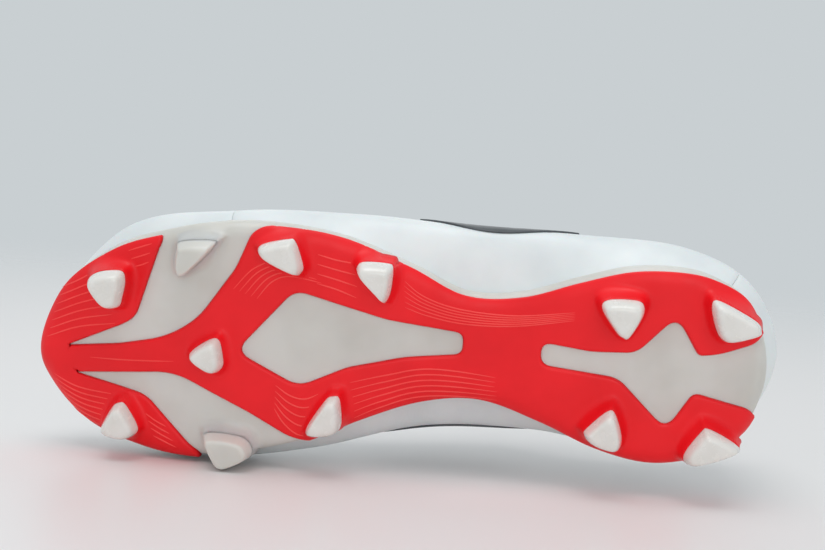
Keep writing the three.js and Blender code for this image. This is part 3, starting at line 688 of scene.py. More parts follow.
def bead(path, width, height, depth):
    """A low rounded ridge along a smooth plan path on the sole: a half ellipse across, and it fades
    to nothing at both ends."""
    line = flatten(resampled(open_curve(path), 0.9))
    along = np.gradient(line, axis=0)
    along /= np.linalg.norm(along, axis=1, keepdims=True)
    side = np.column_stack([-along[:, 1], along[:, 0]])
    share = np.linspace(-1, 1, 7)
    end = np.linspace(0, 1, len(line))
    taper = np.clip(np.minimum(end, 1 - end) * 3.5, 0, 1)**0.6
    crest = np.sqrt(1 - share**2)[None] * taper[:, None]
    half = (width / 2) * (0.15 + 0.85 * taper[:, None, None])
    flat = line[:, None] + side[:, None] * share[None, :, None] * half
    lift = height * crest - 0.06
    points = on_sole(flat.reshape(-1, 2), (depth - lift).reshape(-1))
    return points, grid_faces(len(line), len(share))


def open_curve(points, per_span=12):
    """Uniform Catmull-Rom through open points, the end slopes taken from the end chords."""
    p = np.asarray(points, float)
    p = np.vstack([2 * p[0] - p[1], p, 2 * p[-1] - p[-2]])
    s = np.linspace(0, len(p) - 3, (len(p) - 3) * per_span + 1)
    i = np.minimum(np.floor(s).astype(int), len(p) - 4)
    w = (s - i)[:, None]
    a, b, c, d = p[i], p[i + 1], p[i + 2], p[i + 3]
    m0, m1 = (c - a) / 2, (d - b) / 2
    return (2 * b - 2 * c + m0 + m1) * w**3 + (3 * c - 3 * b - 2 * m0 - m1) * w**2 + m0 * w + b


# Groups of fine moulded lines: the first and last path of each group and how many there are.
OVERLAY_LINES = [
    ([(142, -10), (128, -4), (112, -0.5)], [(136, 10), (127, 15), (120, 19.5)], 7),
    ([(106, 22), (102, 23.5), (99, 25)], [(108, 28), (103, 30), (98, 32)], 3),
    ([(139, -24), (128, -28), (112, -29)], [(133, -37), (124, -41), (117, -43)], 7),
    ([(101, -34), (96, -37), (91, -39)], [(97, -43), (92, -45), (87, -47)], 4),
    ([(124, -15.5), (108, -14.5), (88, -12.5)], [(124, -15.5), (108, -14.5), (88, -12.5)], 1),
    ([(67, 17), (59, 26), (50, 29.5), (40, 27)], [(58, 14), (52, 21.5), (45, 24), (33, 22)], 5),
    ([(36, 33), (28, 31), (20, 30)], [(36, 22), (28, 20), (20, 17)], 4),
    ([(5, 26), (-4, 19), (-18, 14.5), (-38, 13.5), (-62, 17)],
     [(4, 15), (-6, 11.5), (-20, 9), (-38, 9.5), (-62, 14)], 6),
    ([(50, -18), (44, -22), (38, -23), (32, -20)], [(50, -27), (46, -33), (41, -37), (36, -38)], 5),
    ([(23, -16), (8, -12), (-8, -9), (-34, -11)], [(22, -31), (10, -25), (-6, -20), (-34, -20)], 6),
]


def line_group(first, last, count):
    """Paths spread evenly from the first to the last, both drawn with the same number of points."""
    first, last = np.array(first, float), np.array(last, float)
    return [first + (last - first) * s for s in np.linspace(0, 1, count)]


def overlay_border():
    """The unrolled outline moved in by a length that changes smoothly around the sole: the overlay wraps
    the edge at the toe and on the inner side, and stops short of it on the outer side."""
    stops = np.array([-1.0, -0.8, 1.2, 1.5, 1.3, 0.0, 1.0, 0.6, -2.5, -2.8, -2.2, -2.0, -1.0, -1.4, -2.0, -2.0])
    t = np.arange(720) / 720
    point, inward = edge_at(t)
    return point + inward * closed_curve(stops[:, None], t)


def overlay():
    """Red skeleton: one moulded skin with rounded borders and ten flared stud feet, and its raised lines."""
    holes = [flatten(rounded_loop(c)) for c in OPENINGS]
    holes = [resampled(h, 0.8, closed=True) for h in holes]
    rim = resampled(overlay_border(), 1.0, closed=True)
    studs = list(CAPS.values())
    _, faces, outside, within = sole_skin(rim, holes, 0.0, PLATE_DEPTH + 0.12, 1.3, studs, 0.05,
                                          CAP_HEIGHT + 0.1, 1.9, PLATE_DEPTH + 0.12)
    lines = [bead(path, 0.62, 0.28, 0.0) for group in OVERLAY_LINES for path in line_group(*group)]
    feet = [pedestal(c, o, tip + CAP_HEIGHT + 0.1, 0.05, 1.2) for c, tip, o in studs]
    sheet = closed_sheet(faces, outside, within)
    made = mesh_of("outsole_overlay_skin", [sheet, *feet, *lines], RED)
    # The raised lines take the lighter red: a painted highlight on their lit flanks.
    made.data.materials.append(RED_RIDGE_PAINTED_HIGHLIGHT)
    ridges = sum(len(faces) for _, faces in lines)
    which = np.zeros(len(made.data.polygons), np.int32)
    which[-ridges:] = 1
    made.data.polygons.foreach_set("material_index", which)
    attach(made, "shoe")
    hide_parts("outsole_overlay")
    return made


def blade_rings(centre, outline):
    """Rings of a blade from its wall down over a rounded shoulder to a slightly domed tip."""
    shape = np.array([(0.25, CAP_HEIGHT + 0.6), (0.0, CAP_HEIGHT - 0.4), (-0.45, 4.2), (-0.95, 2.2),
                      (-1.3, 1.1), (-1.6, 0.55), (-2.1, 0.18), (-2.8, 0.02), (-3.6, 0.0)])
    rings = stud_rings(centre, outline, shape[:, 0])
    return np.concatenate([rings, np.broadcast_to(shape[:, 1, None, None], (*rings.shape[:2], 1))], -1)


def plate():
    """Milky plate: floor and rounded edge up to its rim, with the two blades and their flared feet in one."""
    wall = RIM_HEIGHT - EDGE_UP
    rim = resampled(rim_loop(EDGE_IN * (1 - np.pi / 2) - wall), 1.2, closed=True)
    studs = list(BLADES.values())
    _, faces, outside, within = sole_skin(rim, [], PLATE_DEPTH, 0.5, 0.6, studs, 0.2, CAP_HEIGHT, 2.4, RIM_WALL)
    blades = [loft(blade_rings(c, o)) for c, _, o in studs]
    blades += [pedestal(c, o, CAP_HEIGHT - 0.2, 0.1, PLATE_DEPTH + 1.5) for c, _, o in studs]
    sheet = closed_sheet(faces, outside, within)
    made = mesh_of("outsole_plate_skin", [sheet, *blades], MILKY)
    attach(made, "shoe")
    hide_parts("outsole_plate")
    return made


def cap(name, centre, tip, outline):
    """Stud cap: walls that lean in, a rounded shoulder and a slightly domed tip."""
    shape = np.array([(-0.25, CAP_HEIGHT + 1.2), (-0.05, CAP_HEIGHT + 0.2), (-0.02, CAP_HEIGHT - 0.4),
                      (-0.15, 5.2), (-0.42, 3.9), (-0.75, 2.6), (-1.05, 1.7), (-1.4, 0.95), (-1.85, 0.42),
                      (-2.45, 0.12), (-3.1, 0.02), (-3.8, 0.0)])
    rings = stud_rings(centre, outline, shape[:, 0])
    rings = np.concatenate([rings, np.broadcast_to(tip + shape[:, 1, None, None], (*rings.shape[:2], 1))], -1)
    made = mesh_of(f"stud_cap_{name}_moulded", [loft(rings)], GLOSS)
    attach(made, "shoe")
    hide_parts(f"stud_cap_{name}")
    return made


# ---- The upper ----

def arch_share(t):
    """1 where the section is an arch, over the toes, and 0 where it is a wall, around the heel."""
    return smooth(-np.abs(t % 1 - 0.5) * STATIONS, -4.5, -2)


def on_vamp(t):
    return (t % 1 >= 6 / STATIONS) & (t % 1 <= 10 / STATIONS)


def section_knots(t):
    """Six points of each section: feather edge, rim top, widest point, two between and the top line."""
    raise_by = np.array([0, 0, STUD_HEIGHT])
    point, inward = edge_at(t)
    feather = point + inward * FEATHER
    base = sole_height(feather[:, 0])
    wide = closed_curve(WIDEST_LINE, t) + raise_by
    high = closed_curve(TOP_LINE, t) + raise_by
    twin = closed_curve(TOP_LINE, 1 - t) + raise_by
    high = np.where(on_vamp(t)[:, None], (high + twin) / 2, high)
    share = arch_share(t)

    def between(across, up):
        return np.column_stack([wide[:, 0] + (high[:, 0] - wide[:, 0]) * across,
                                wide[:, 1] + (high[:, 1] - wide[:, 1]) * across,
                                wide[:, 2] + (high[:, 2] - wide[:, 2]) * up])

    first = np.column_stack([feather, base + FLOOR_TOP + GAP + 0.5])
    second = np.column_stack([feather, base + RIM_HEIGHT + 2 * GAP])
    return np.stack([first, second, wide, between(0.2 - 0.06 * share, 0.34 + 0.16 * share),
                     between(0.58 - 0.08 * share, 0.68 + 0.186 * share), high], 1)


def section(t, v):
    """Points of the upper at turns t, one a row, and shares v of the section: centripetal Catmull-Rom
    through its knots, whose spans weigh the square root of each chord. Shape (rows, columns, 3)."""
    k = section_knots(t)
    s = np.clip(np.broadcast_to(v, (len(t), np.shape(v)[-1])), 0, 1) * 5
    i = np.minimum(np.floor(s).astype(int), 4)
    w = (s - i)[..., None]
    rows = np.arange(len(t))[:, None]
    k = np.concatenate([2 * k[:, :1] - k[:, 1:2], k, 2 * k[:, -1:] - k[:, -2:-1]], 1)
    a, b, c, d = k[rows, i], k[rows, i + 1], k[rows, i + 2], k[rows, i + 3]
    chord = lambda p, q: np.sqrt(np.linalg.norm(q - p, axis=-1, keepdims=True))
    d0, d1, d2 = chord(a, b), chord(b, c), chord(c, d)
    m0 = ((b - a) / d0 - (c - a) / (d0 + d1) + (c - b) / d1) * d1
    m1 = ((c - b) / d1 - (d - b) / (d1 + d2) + (d - c) / d2) * d1
    return (2 * b - 2 * c + m0 + m1) * w**3 + (3 * c - 3 * b - 2 * m0 - m1) * w**2 + m0 * w + b


def section_normal(t, v):
    """Outward unit normals by central differences along both parameters."""
    h = 0.004
    along = section(t + h, v) - section(t - h, v)
    up = section(t, np.minimum(v + h, 1)) - section(t, np.maximum(v - h, 0))
    n = np.cross(up, along)
    return n / np.maximum(np.linalg.norm(n, axis=-1, keepdims=True), 1e-9)


def skin(t, v, out):
    """The upper's surface moved out by a length; both sides of the vamp's ridge share their normal there."""
    below = section_normal(t, np.minimum(v, 0.96))
    twin = section_normal(1 - t, np.minimum(v, 0.96))
    shared = below + twin
    shared /= np.maximum(np.linalg.norm(shared, axis=-1, keepdims=True), 1e-9)
    w = (smooth(v, 0.86, 1) * on_vamp(t)[:, None])[..., None]
    normal = below * (1 - w) + shared * w
    normal /= np.maximum(np.linalg.norm(normal, axis=-1, keepdims=True), 1e-9)
    return section(t, v) + normal * np.broadcast_to(out, below.shape[:2])[..., None]


EDGE_STEPS = np.array([0, 0.05, 0.12, 0.24])


def spread(low, high, step, unit_mm, round_low=True, round_high=True):
    """Values from low to high at about a step, with a few close to each rounded end."""
    near = EDGE_STEPS / unit_mm
    inner_low = low + (near[-1] if round_low else 0)
    inner_high = high - (near[-1] if round_high else 0)
    values = np.linspace(inner_low, inner_high, max(3, int(np.ceil((inner_high - inner_low) / step)) + 1))
    first = low + near[:-1] if round_low else []
    last = (high - near[:-1])[::-1] if round_high else []
    return np.concatenate([first, values, last])


def edge_drop(s, v, s0, s1, v0, v1, s_mm, v_mm, sides):
    """How far a panel's face falls at its rounded borders, as a share of 1, on the grid of s by v."""
    far = 9.0
    ds = np.minimum((s - s0) * s_mm if sides[0] else far, (s1 - s) * s_mm if sides[1] else far)
    dv = np.minimum((v - v0) * v_mm if sides[2] else far, (v1 - v) * v_mm if sides[3] else far)
    return quarter_round(np.minimum(np.broadcast_to(ds, s.shape)[:, None],
                                    np.broadcast_to(dv, v.shape)[None, :]), EDGE_STEPS[-1])


def panel(s0, s1, v0, v1, outer, inner, sides=(True, True, True, True), shape=None):
    """A closed piece of the upper between two depths over stations s0..s1 and shares v0..v1. Its outer face
    rounds off at the sides named (start, end, low, high). A shape bends its shares: rows and columns in,
    v out."""
    s_mm, v_mm = 36.0, 85.0  # about one station and one whole section
    s = spread(s0, s1, 1 / 14, s_mm)
    v = spread(v0, v1, 0.022, v_mm)
    t = s / STATIONS
    drop = edge_drop(s, v, s0, s1, v0, v1, s_mm, v_mm, sides)
    if shape is None:
        v = np.broadcast_to(v, (len(s), len(v)))
    else:
        v = shape((s - s0) / (s1 - s0), (v - v0) / (v1 - v0))
    out = outer(t, v) if callable(outer) else np.full(v.shape, float(outer))
    into = inner(t, v) if callable(inner) else np.full(v.shape, float(inner))
    outside = skin(t, v, out - drop * (out - into) * 0.4)
    inside_face = skin(t, v, into)
    n, m = v.shape
    points = np.concatenate([outside.reshape(-1, 3), inside_face.reshape(-1, 3)])
    quads = grid_faces(n, m)
    ring = np.concatenate([np.arange(m), np.arange(2 * m, n * m, m) - 1,
                           np.arange(n * m - 1, n * m - m - 1, -1), np.arange((n - 2) * m, 0, -m)])
    nxt = np.roll(ring, -1)
    wall = np.column_stack([ring, ring + n * m, nxt + n * m, nxt])
    return points, (quads[:, ::-1], quads + n * m, wall)


def tidied(obj):
    """Doubles merged and faces turned outwards."""
    bm = bmesh.new()
    bm.from_mesh(obj.data)
    bmesh.ops.remove_doubles(bm, verts=bm.verts, dist=2e-5)
    bmesh.ops.recalc_face_normals(bm, faces=bm.faces)
    bm.to_mesh(obj.data)
    bm.free()
    return obj


def upper_piece(name, pieces, material, slot, *nodes, body="shoe"):
    made = tidied(mesh_of(name, pieces, material))
    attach(made, body)
    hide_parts(*nodes)
    return made


SEAM = 0.0005


def padding(t, v):
    """Foam behind the collar's lining: full around the heel, fading towards the front and downwards."""
    side = np.minimum(t % 1, 1 - t % 1) * STATIONS
    return 2.2 * (1 - smooth(side, 2.8, 4.0))[:, None] * smooth(v, 0.62, 0.78)


def lining_outer(t, v):
    return -SKIN - GAP - STIFFENER - GAP - padding(t, v)


def lining_inner(t, v):
    return lining_outer(t, v) - LINING


def lens(low, high, bow_low, bow_high):
    """Shares of a panel whose low and high borders bow towards each other at its ends."""
    def shape(a, b):
        ends = (2 * a - 1)**2
        bottom, top = low + bow_low * ends, high - bow_high * ends
        return bottom[:, None] * (1 - b) + top[:, None] * b
    return shape


# ---- Soft parts: collar, tongue and sockliner ----

def collar_roll():
    """Padded collar: lining knit over foam, from inside the shell over the top edge and down the lining. Its
    section is a closed loop: up the shell, half round over the top, and down inside as a shallow cushion that
    thins out downwards. It fades into the lining towards the throat."""
    s = np.linspace(-3.95, 3.95, 200)
    t = s / STATIONS
    full = (1 - smooth(np.abs(s), 3.0, 3.95))[:, None]
    outside = -SKIN - 0.12
    down = np.linspace(0.985, 0.6, 18)[None]
    share = (down - 0.6) / 0.385
    cushion = lining_inner(t, down) - (0.25 + 1.5 * np.sin(np.pi * np.clip(share, 0, 1))**0.8) * full - 0.15
    back = np.linspace(0.64, 0.985, 8)[None]
    bend = np.linspace(0, np.pi, 10)[None]
    middle, half = (outside + cushion[:, :1]) / 2, (outside - cushion[:, :1]) / 2
    over_out = middle + half * np.cos(bend)
    rise = (0.5 + 1.1 * full) * np.sin(bend)
    high = section(t, np.full((1, 1), 1.0)) - section(t, np.full((1, 1), 0.985))
    high /= np.linalg.norm(high, axis=-1, keepdims=True)
    top = skin(t, np.full((1, bend.size), 0.985), over_out) + high * (rise + 1.1)[..., None]
    points = np.concatenate([skin(t, back, np.full((len(t), back.size), outside)), top,
                             skin(t, down[:, 1:], cushion[:, 1:])], 1)
    return loft(points)


def ring_of(u, power):
    """Half thickness across a pad at u from -1 to 1: flat in the middle and round at the sides."""
    return np.sqrt(np.clip(1 - np.abs(u)**power, 0, 1))


def tongue_face(s, out, extra, u):
    """A face of the tongue: at each row an arc through points below both eyestays and over the middle. Past
    the last eyelet the rows leave the upper and rise backwards."""
    t = s / STATIONS
    a, b = skin(t, np.full((1, 1), 0.86), out)[:, 0], skin(t, np.full((1, 1), 0.99), out)[:, 0]
    d, c = skin(1 - t, np.full((1, 1), 0.86), out)[:, 0], skin(1 - t, np.full((1, 1), 0.99), out)[:, 0]
    knots = np.stack([a, b, (b + c) / 2 + [0, 0, 1.5], c, d], 1)
    knots = np.concatenate([2 * knots[:, :1] - knots[:, 1:2], knots, 2 * knots[:, -1:] - knots[:, -2:-1]], 1)
    at = np.clip((u + 1) * 2, 0, 3.99999)
    i, w = np.floor(at).astype(int), (at - np.floor(at))[None, :, None]
    p, q, r, e = knots[:, i], knots[:, i + 1], knots[:, i + 2], knots[:, i + 3]
    m0, m1 = (r - p) / 2, (e - q) / 2
    face = (2 * q - 2 * r + m0 + m1) * w**3 + (3 * r - 3 * q - 2 * m0 - m1) * w**2 + m0 * w + q
    face[..., 1] *= 1 - 0.2 * extra[:, None]
    return face + np.array([-9.0, 0.0, 8.5]) * extra[:, None, None]


def tongue_pad():
    """Padded tongue: flat bound sides, four sewn channels along it above the throat, and a rounded end."""
    rows = np.linspace(0, 1, 150)
    s = np.interp(rows, [0, 0.72, 1], [TONGUE_BASE, TONGUE_LAST, TONGUE_LAST])
    extra = np.interp(rows, [0, 0.72, 1], [0, 0, 1.9])
    play = np.interp(rows, [0, 0.72, 1], [1.1, 3.2, 3.2])
    u = np.linspace(-1, 1, 61)
    upper = tongue_face(s, (-LINING_DEPTH - play)[:, None], extra, u)
    lower = tongue_face(s, (-LINING_DEPTH - TONGUE - play)[:, None], extra, u)
    middle, half = (upper + lower) / 2, (upper - lower) / 2
    ends = np.minimum(np.minimum(rows * 90, (1 - rows) * 60) / 3.0, 1)
    ends = np.sqrt(1 - (1 - ends)**2)
    padded = smooth(rows, 0.3, 0.42) * (1 - smooth(rows, 0.955, 0.975))
    binding = 1 - 0.42 * (1 - smooth(1 - np.abs(u), 0.05, 0.13))
    channels = sum(np.exp(-((u - c) / 0.028)**2) for c in (-0.6, -0.2, 0.2, 0.6))
    puff = 0.78 + 0.22 * padded
    share = (puff * ends)[:, None] * (ring_of(u, 12) * binding)[None]
    share = share * (1 - 0.42 * padded[:, None] * channels[None])
    corner = 1 - 0.16 * np.clip((rows - 0.9) / 0.1, 0, 1)**2.5
    centre = middle[:, 30:31]
    middle = centre + (middle - centre) * corner[:, None, None]
    top, bottom = middle + half * share[..., None], middle - half * share[..., None]
    ring = np.concatenate([top, bottom[:, ::-1][:, 1:-1]], 1)
    return loft(ring)


def insole_pad():
    """Sockliner: a raised soft rim and a dished, cushioned floor, its rows folded onto a spine."""
    t = np.arange(360) / 360
    point, inward = edge_at(t)
    inset = FEATHER + LINING_DEPTH + 0.5
    bottom, top = BOARD_TOP + GAP, BOARD_TOP + GAP + SOCKLINER

    def ring(more, height):
        xy = point + inward * (inset + more)
        return np.column_stack([xy, sole_height(xy[:, 0]) + height])

    def floor(height, share, dish=0.0):
        edge = ring(7.0 if height > bottom + 1 else 1.0, height)
        spine = (edge + edge[-np.arange(360) % 360]) / 2
        spine[:, 0] = spine[:, 0] * 0.86
        spine[:, 2] = sole_height(spine[:, 0]) + height
        rows = edge + (spine - edge) * share
        rows[:, 2] = sole_height(rows[:, 0]) + height + dish * np.sin(np.pi * share / 2)
        return rows

    shares = np.linspace(0, 1, 12)
    rings = [floor(bottom, x) for x in shares[::-1]]
    rings += [ring(0.4, bottom + 0.3), ring(0.05, bottom + 0.9), ring(0.0, bottom + 1.8),
              ring(0.15, top - 0.2), ring(0.45, top + 0.7), ring(0.95, top + 1.15), ring(1.6, top + 1.2),
              ring(2.4, top + 1.05), ring(3.6, top + 0.6), ring(5.2, top + 0.2)]
    rings += [floor(top, x, 0.35) for x in shares]
    points = np.concatenate(rings)
    return points, grid_faces(len(rings), 360, closed=True)


# ---- Eyelets and stitches ----

def eyelet_places(side):
    """Centres and outward directions of one side's five eyelets, on the eyestay's face."""
    t = EYELET_STATIONS / STATIONS if side == "lateral" else 1 - EYELET_STATIONS / STATIONS
    v = np.full((1, 1), EYELET_SHARE)
    return skin(t, v, GAP + FACING)[:, 0], section_normal(t, v)[:, 0]


def turned(profile, centre, direction, count=28):
    """A profile of (radius, height) rows turned about a direction at a centre, as rings."""
    direction = direction / np.linalg.norm(direction)
    across = np.cross(direction, [1.0, 0.0, 0.0])
    across /= np.linalg.norm(across)
    other = np.cross(direction, across)
    a = np.arange(count) * 2 * np.pi / count
    around = np.cos(a)[:, None] * across + np.sin(a)[:, None] * other
    r, h = np.asarray(profile, float).T
    return centre + around[None] * r[:, None, None] + direction * h[:, None, None]


def grommets(side):
    """Flat moulded rings pressed over the eyelets."""
    ring = [(2.15, -1.4), (2.05, -0.2), (2.1, 0.2), (2.35, 0.42), (2.8, 0.45), (3.15, 0.3), (3.3, -0.1),
            (3.3, -0.6)]
    pieces = []
    for centre, direction in zip(*eyelet_places(side)):
        rings = turned(ring, centre, direction)
        points = np.concatenate([rings, rings[:1]]).reshape(-1, 3)
        pieces.append((points, grid_faces(len(ring) + 1, rings.shape[1], closed=True)))
    return pieces


def punched(obj, side):
    """The eyelets cut through a piece, and the cut kept in its mesh."""
    rod = [(EYELET_RADIUS, -9.0), (EYELET_RADIUS, 5.0)]
    rods = [loft(turned(rod, centre, direction, 20)) for centre, direction in zip(*eyelet_places(side))]
    cutter = tidied(mesh_of("cutter", rods, STAY))
    cut = obj.modifiers.new("eyelets", "BOOLEAN")
    cut.operation, cut.solver, cut.object = "DIFFERENCE", "EXACT", cutter
    bpy.context.view_layer.update()
    done = bpy.data.meshes.new_from_object(obj.evaluated_get(bpy.context.evaluated_depsgraph_get()))
    obj.modifiers.clear()
    obj.data = done
    bpy.data.objects.remove(cutter)
    return obj


def seam_line(s, v, out, pitch=2.9):
    """Places, directions and normals of stitches at a pitch along a line of stations and shares."""
    s, v = (np.interp(np.linspace(0, 1, 400), np.linspace(0, 1, len(ends)), ends) for ends in (s, v))
    points = skin(s / STATIONS % 1, v[:, None], out)[:, 0]
    length = np.concatenate([[0], np.cumsum(np.linalg.norm(np.diff(points, axis=0), axis=1))])
    at = np.arange(pitch / 2, length[-1], pitch)
    s, v = np.interp(at, length, s), np.interp(at, length, v)
    place = skin(s / STATIONS % 1, v[:, None], out)[:, 0]
    normal = section_normal(s / STATIONS % 1, v[:, None])[:, 0]
    along = np.stack([np.interp(at + 0.5, length, points[:, k]) - np.interp(at - 0.5, length, points[:, k])
                      for k in range(3)], -1)
    return place, along / np.linalg.norm(along, axis=1, keepdims=True), normal


def stitches(place, along, normal, length=2.0, width=0.6):
    """One small capsule a stitch, six sided, its ends dipping into the cloth."""
    side = np.cross(normal, along)
    side /= np.linalg.norm(side, axis=1, keepdims=True)
    x = np.array([-0.5, -0.36, 0.0, 0.36, 0.5]) * length
    r = np.array([0.25, 0.85, 1.0, 0.85, 0.25]) * width / 2
    sink = np.array([-0.3, -0.02, 0.08, -0.02, -0.3])
    a = np.arange(6) * np.pi / 3
    ring = (along[:, None, None] * x[None, :, None, None]
            + side[:, None, None] * (r[:, None] * np.cos(a))[None, ..., None]
            + normal[:, None, None] * (r[:, None] * np.sin(a) * 0.7 + sink[:, None])[None, ..., None])
    points = (place[:, None, None] + ring).reshape(-1, 3)
    one = grid_faces(5, 6, closed=True)
    starts = np.arange(len(place))[:, None, None] * 30
    ends = np.array([np.arange(6)[::-1], np.arange(24, 30)])
    return points, ((one[None] + starts).reshape(-1, 4), (ends[None] + starts).reshape(-1, 6))


def lateral(a, b):
    return a, b


def medial(a, b):
    """A span of stations mirrored to the inner side."""
    return STATIONS - b, STATIONS - a


def build_shell():
    """Vamp and heel panel, whose halves mirror each other."""
    joined = (True, True, False, False)
    upper_piece("vamp_shell", [panel(THROAT + SEAM, STATIONS - THROAT - SEAM, 0, 1, 0, -SKIN, joined)],
                UPPER, "skin", "vamp")
    heel = panel(-HEEL_SEAM + SEAM, HEEL_SEAM - SEAM, 0, 1, 0, -SKIN, (True, True, False, True))
    upper_piece("heel_panel_shell", [heel], UPPER, "skin", "heel_panel")


def build_side(side, turn, bow):
    """One quarter with its eyestay, both punched for the eyelets, its dark film and its eyelet rings."""
    whole = panel(*turn(HEEL_SEAM + SEAM, THROAT - SEAM), 0, 1, 0, -SKIN, (True, True, False, True))
    quarter = upper_piece(f"quarter_{side}_shell", [whole], UPPER, "skin", f"quarter_{side}")
    facing = panel(*turn(EYESTAY_FROM, THROAT - SEAM), EYESTAY_SHARE, 1, GAP + FACING, GAP - 0.3)
    stay = upper_piece(f"eyestay_{side}_facing", [facing], STAY, "skin", f"eyestay_{side}")
    punched(quarter, side)
    punched(stay, side)
    film = panel(*turn(3, 4.5), WIDE_SHARE, FILM_SHARE, GAP + 0.45, GAP - 0.3,
                 shape=lens(WIDE_SHARE, FILM_SHARE, bow, 0.14))
    upper_piece(f"side_film_{side}_panel", [film], FILM, "film", f"side_film_{side}")
    rings = mesh_of(f"eyelet_rings_{side}", grommets(side), GLOSS)
    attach(tidied(rings), "shoe")


def stitch_rows(side):
    """Lines of stitches on one side, as stations, shares and heights: two rows and an end across the
    eyestay, the vamp's seam, both sides of the heel seam, and the collar."""
    def to(*s):
        return np.array(s) if side == "lateral" else STATIONS - np.array(s)

    on_stay = GAP + FACING
    return [(to(4.07, 5.93), (0.815, 0.815), on_stay), (to(4.07, 5.93), (0.838, 0.838), on_stay),
            (to(4.07, 4.07), (0.84, 0.985), on_stay), (to(6.07, 6.07), (0.62, 0.98), 0.0),
            (to(1.19, 1.19), (0.5, 0.97), 0.0), (to(1.31, 1.31), (0.5, 0.97), 0.0),
            (to(1.4, 3.95), (0.965, 0.965), 0.0)]


def build_stitching():
    rows = stitch_rows("lateral") + stitch_rows("medial") + [(np.array([-1.15, 1.15]), (0.965, 0.965), 0.0)]
    sewn = mesh_of("upper_stitching", [stitches(*seam_line(*row)) for row in rows], THREAD)
    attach(sewn, "shoe")


def build_soft_parts():
    """Lining, collar, tongue and sockliner."""
    knitted = panel(-THROAT + SEAM, THROAT - SEAM, 0.1, 1, lining_outer, lining_inner)
    lining = upper_piece("quarter_lining_knit", [knitted], LINING_KNIT, "textile", "quarter_lining")
    punched(lining, "lateral")
    punched(lining, "medial")
    collar = upper_piece("collar_padding", [collar_roll()], LINING_KNIT, "foam", "collar_foam")
    tongue = upper_piece("tongue_padding", [tongue_pad()], TONGUE_KNIT, "textile", "tongue", body="tongue")
    insole = upper_piece("sockliner_cushion", [insole_pad()], COVER, "foam", "sockliner", body="sockliner")


# ---- Camera, light and stage ----

def axis(*v):
    return np.array(v, float) / np.linalg.norm(v)


def place_camera():
    """A 67 mm lens about 0.56 m below the sole, looking up at it, the shoe's outer side at the top."""
    data = bpy.data.cameras.new("camera")
    data.sensor_width, data.lens = 36.0, 66.94
    camera = bpy.data.objects.new("camera", data)
    bpy.context.scene.collection.objects.link(camera)
    forward = axis(0.0629, -0.2245, 0.9724)
    right = axis(-0.9956, 0.0522, 0.0770)
    right = axis(*(right - forward * (right @ forward)))
    up = np.cross(right, forward)
    turn = Matrix(np.column_stack([right, up, -forward]).tolist()).to_4x4()
    place = (np.array([-35.2, 154.0, -536.0]) + SHIFT) * MM
    camera.matrix_world = Matrix.Translation(Vector(place)) @ turn
    data.clip_start, data.clip_end = 0.01, 20
    bpy.context.scene.camera = camera
    return camera, forward, right, up, place


def area_light(name, place, target, size, power, colour="#ffffff"):
    data = bpy.data.lights.new(name, "AREA")
    data.shape, data.size, data.energy = "DISK", size, power
    data.color = linear(colour)[:3]
    obj = bpy.data.objects.new(name, data)
    bpy.context.scene.collection.objects.link(obj)
    aim = (Vector(target) - Vector(place)).to_track_quat("-Z", "Y")
    obj.matrix_world = Matrix.Translation(Vector(place)) @ aim.to_matrix().to_4x4()
    return obj


def card(name, colour, rough, fade_from=None, fade_to=None):
    """Smooth card, drawn only from its front, so that it never hides the shoe from behind. It may fade out with
    the height above the ground, into the studio's backdrop."""
    made = bpy.data.materials.new(name)
    made.use_nodes = True
    tree = made.node_tree
    tree.nodes.clear()
    shader = node(tree, "ShaderNodeBsdfPrincipled", {"Base Color": linear(colour), "Roughness": rough})
    where = node(tree, "ShaderNodeTexCoord").outputs["Object"]
    fibres = node(tree, "ShaderNodeTexNoise", {"Scale": 1 / (1.5 * MM)}, {"Vector": where})
    raised(tree, shader, fibres.outputs["Fac"], 0.01, 0.1)
    clear = node(tree, "ShaderNodeBsdfTransparent")
    gone = node(tree, "ShaderNodeNewGeometry").outputs["Backfacing"]
    if fade_from is not None:
        height = node(tree, "ShaderNodeSeparateXYZ", links={"Vector": where}).outputs["Z"]
        far = node(tree, "ShaderNodeMapRange", {"interpolation_type": "SMOOTHSTEP", "From Min": fade_from,
                                                "From Max": fade_to}, {"Value": height})
        gone = node(tree, "ShaderNodeMath", {"operation": "MAXIMUM"},
                    {0: gone, 1: far.outputs["Result"]}).outputs["Value"]
    mix = node(tree, "ShaderNodeMixShader", links={0: gone, 1: shader.outputs[0], 2: clear.outputs[0]})
    node(tree, "ShaderNodeOutputMaterial", links={"Surface": mix.outputs[0]})
    return made


def stage_plane(name, centre, along, across, half, material):
    """A flat square, its front on the side of along x across."""
    along, across = np.array(along) * half, np.array(across) * half
    c = np.array(centre, float)
    points = [c - along - across, c + along - across, c + along + across, c - along + across]
    mesh = bpy.data.meshes.new(name)
    mesh.from_pydata([tuple(p) for p in points], [], [(0, 1, 2, 3)])
    mesh.materials.append(material)
    obj = bpy.data.objects.new(name, mesh)
    bpy.context.scene.collection.objects.link(obj)
    obj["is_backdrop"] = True
    return obj


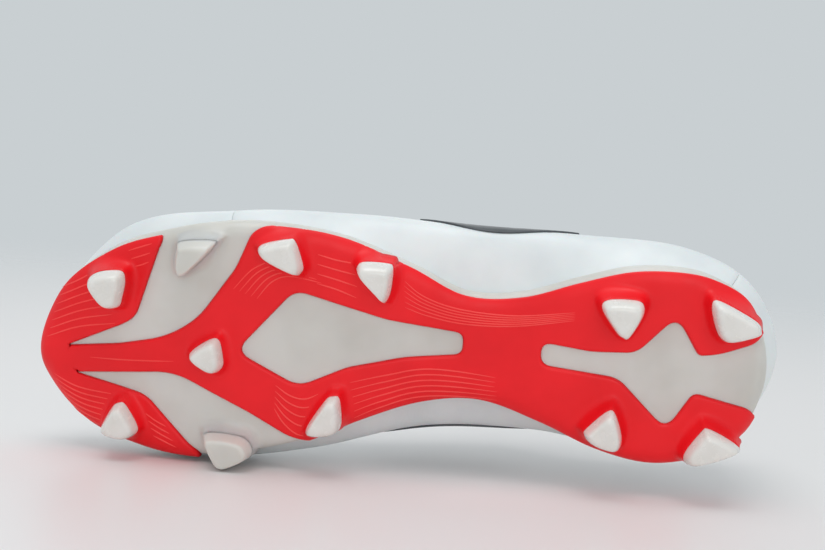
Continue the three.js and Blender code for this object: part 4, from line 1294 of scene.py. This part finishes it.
def lowest_along(normal):
    """The least distance along a direction of any vertex of the object, so that a plane there touches it."""
    least = 1e9
    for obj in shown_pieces():
        if obj.type == "MESH":
            co = np.empty(len(obj.data.vertices) * 3)
            obj.data.vertices.foreach_get("co", co)
            world = np.array(obj.matrix_world)
            at = co.reshape(-1, 3) @ world[:3, :3].T + world[:3, 3]
            least = min(least, (at @ normal).min())
    return least


STAGE_REACH = 6.0  # metres from the middle of a card to its side


def build_stage():
    # The surface that the shoe lies on with its inner side; the camera is a few degrees above it.
    tilt = np.radians(8.0)
    normal = np.array([0.0, np.cos(tilt), np.sin(tilt)])
    along = np.array([1.0, 0.0, 0.0])
    across = np.cross(normal, along)
    table_card = card("matt_table_card", "#e9e6e5", 0.4, 0.15, 1.1)
    stage_plane("table", normal * lowest_along(normal), along, across, STAGE_REACH, table_card)
    ground_card = card("matt_ground_card", "#e2e3e3", 0.6)
    ground = stage_plane("ground", (0, 0, -0.0002), (1, 0, 0), (0, 1, 0), STAGE_REACH, ground_card)
    for ray in ("visible_diffuse", "visible_glossy", "visible_transmission", "visible_shadow"):
        setattr(ground, ray, False)
    world = bpy.data.worlds.new("studio")
    world.use_nodes = True
    world.node_tree.nodes["Background"].inputs["Color"].default_value = linear("#c9cfd2")
    world.node_tree.nodes["Background"].inputs["Strength"].default_value = 1.0
    bpy.context.scene.world = world
    bpy.context.scene.view_settings.view_transform = "Standard"
    area_light("overhead_softbox", (0.1, 2.2, -0.1), (0, 0, 0.03), 1.7, 17)
    area_light("front_softbox", (-0.4, 0.9, -2.0), (0, 0, 0.02), 1.4, 8)
    area_light("upper_softbox", (0.3, 0.8, 2.0), (0, 0, 0.05), 1.4, 2.5)


place_camera()
overlay()
plate()
for cap_name, cap_shape in CAPS.items():
    cap(cap_name, *cap_shape)
build_shell()
build_side("lateral", lateral, 0.115)
build_side("medial", medial, 0.07)
build_stitching()
build_soft_parts()
for hidden, finish in (("strobel_board", BOARD), ("toe_puff", STIFF), ("heel_counter", STIFF),
                       ("vamp_lining", LINING_KNIT)):
    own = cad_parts[hidden]
    own.data.materials.clear()
    own.data.materials.append(finish)

build_stage()
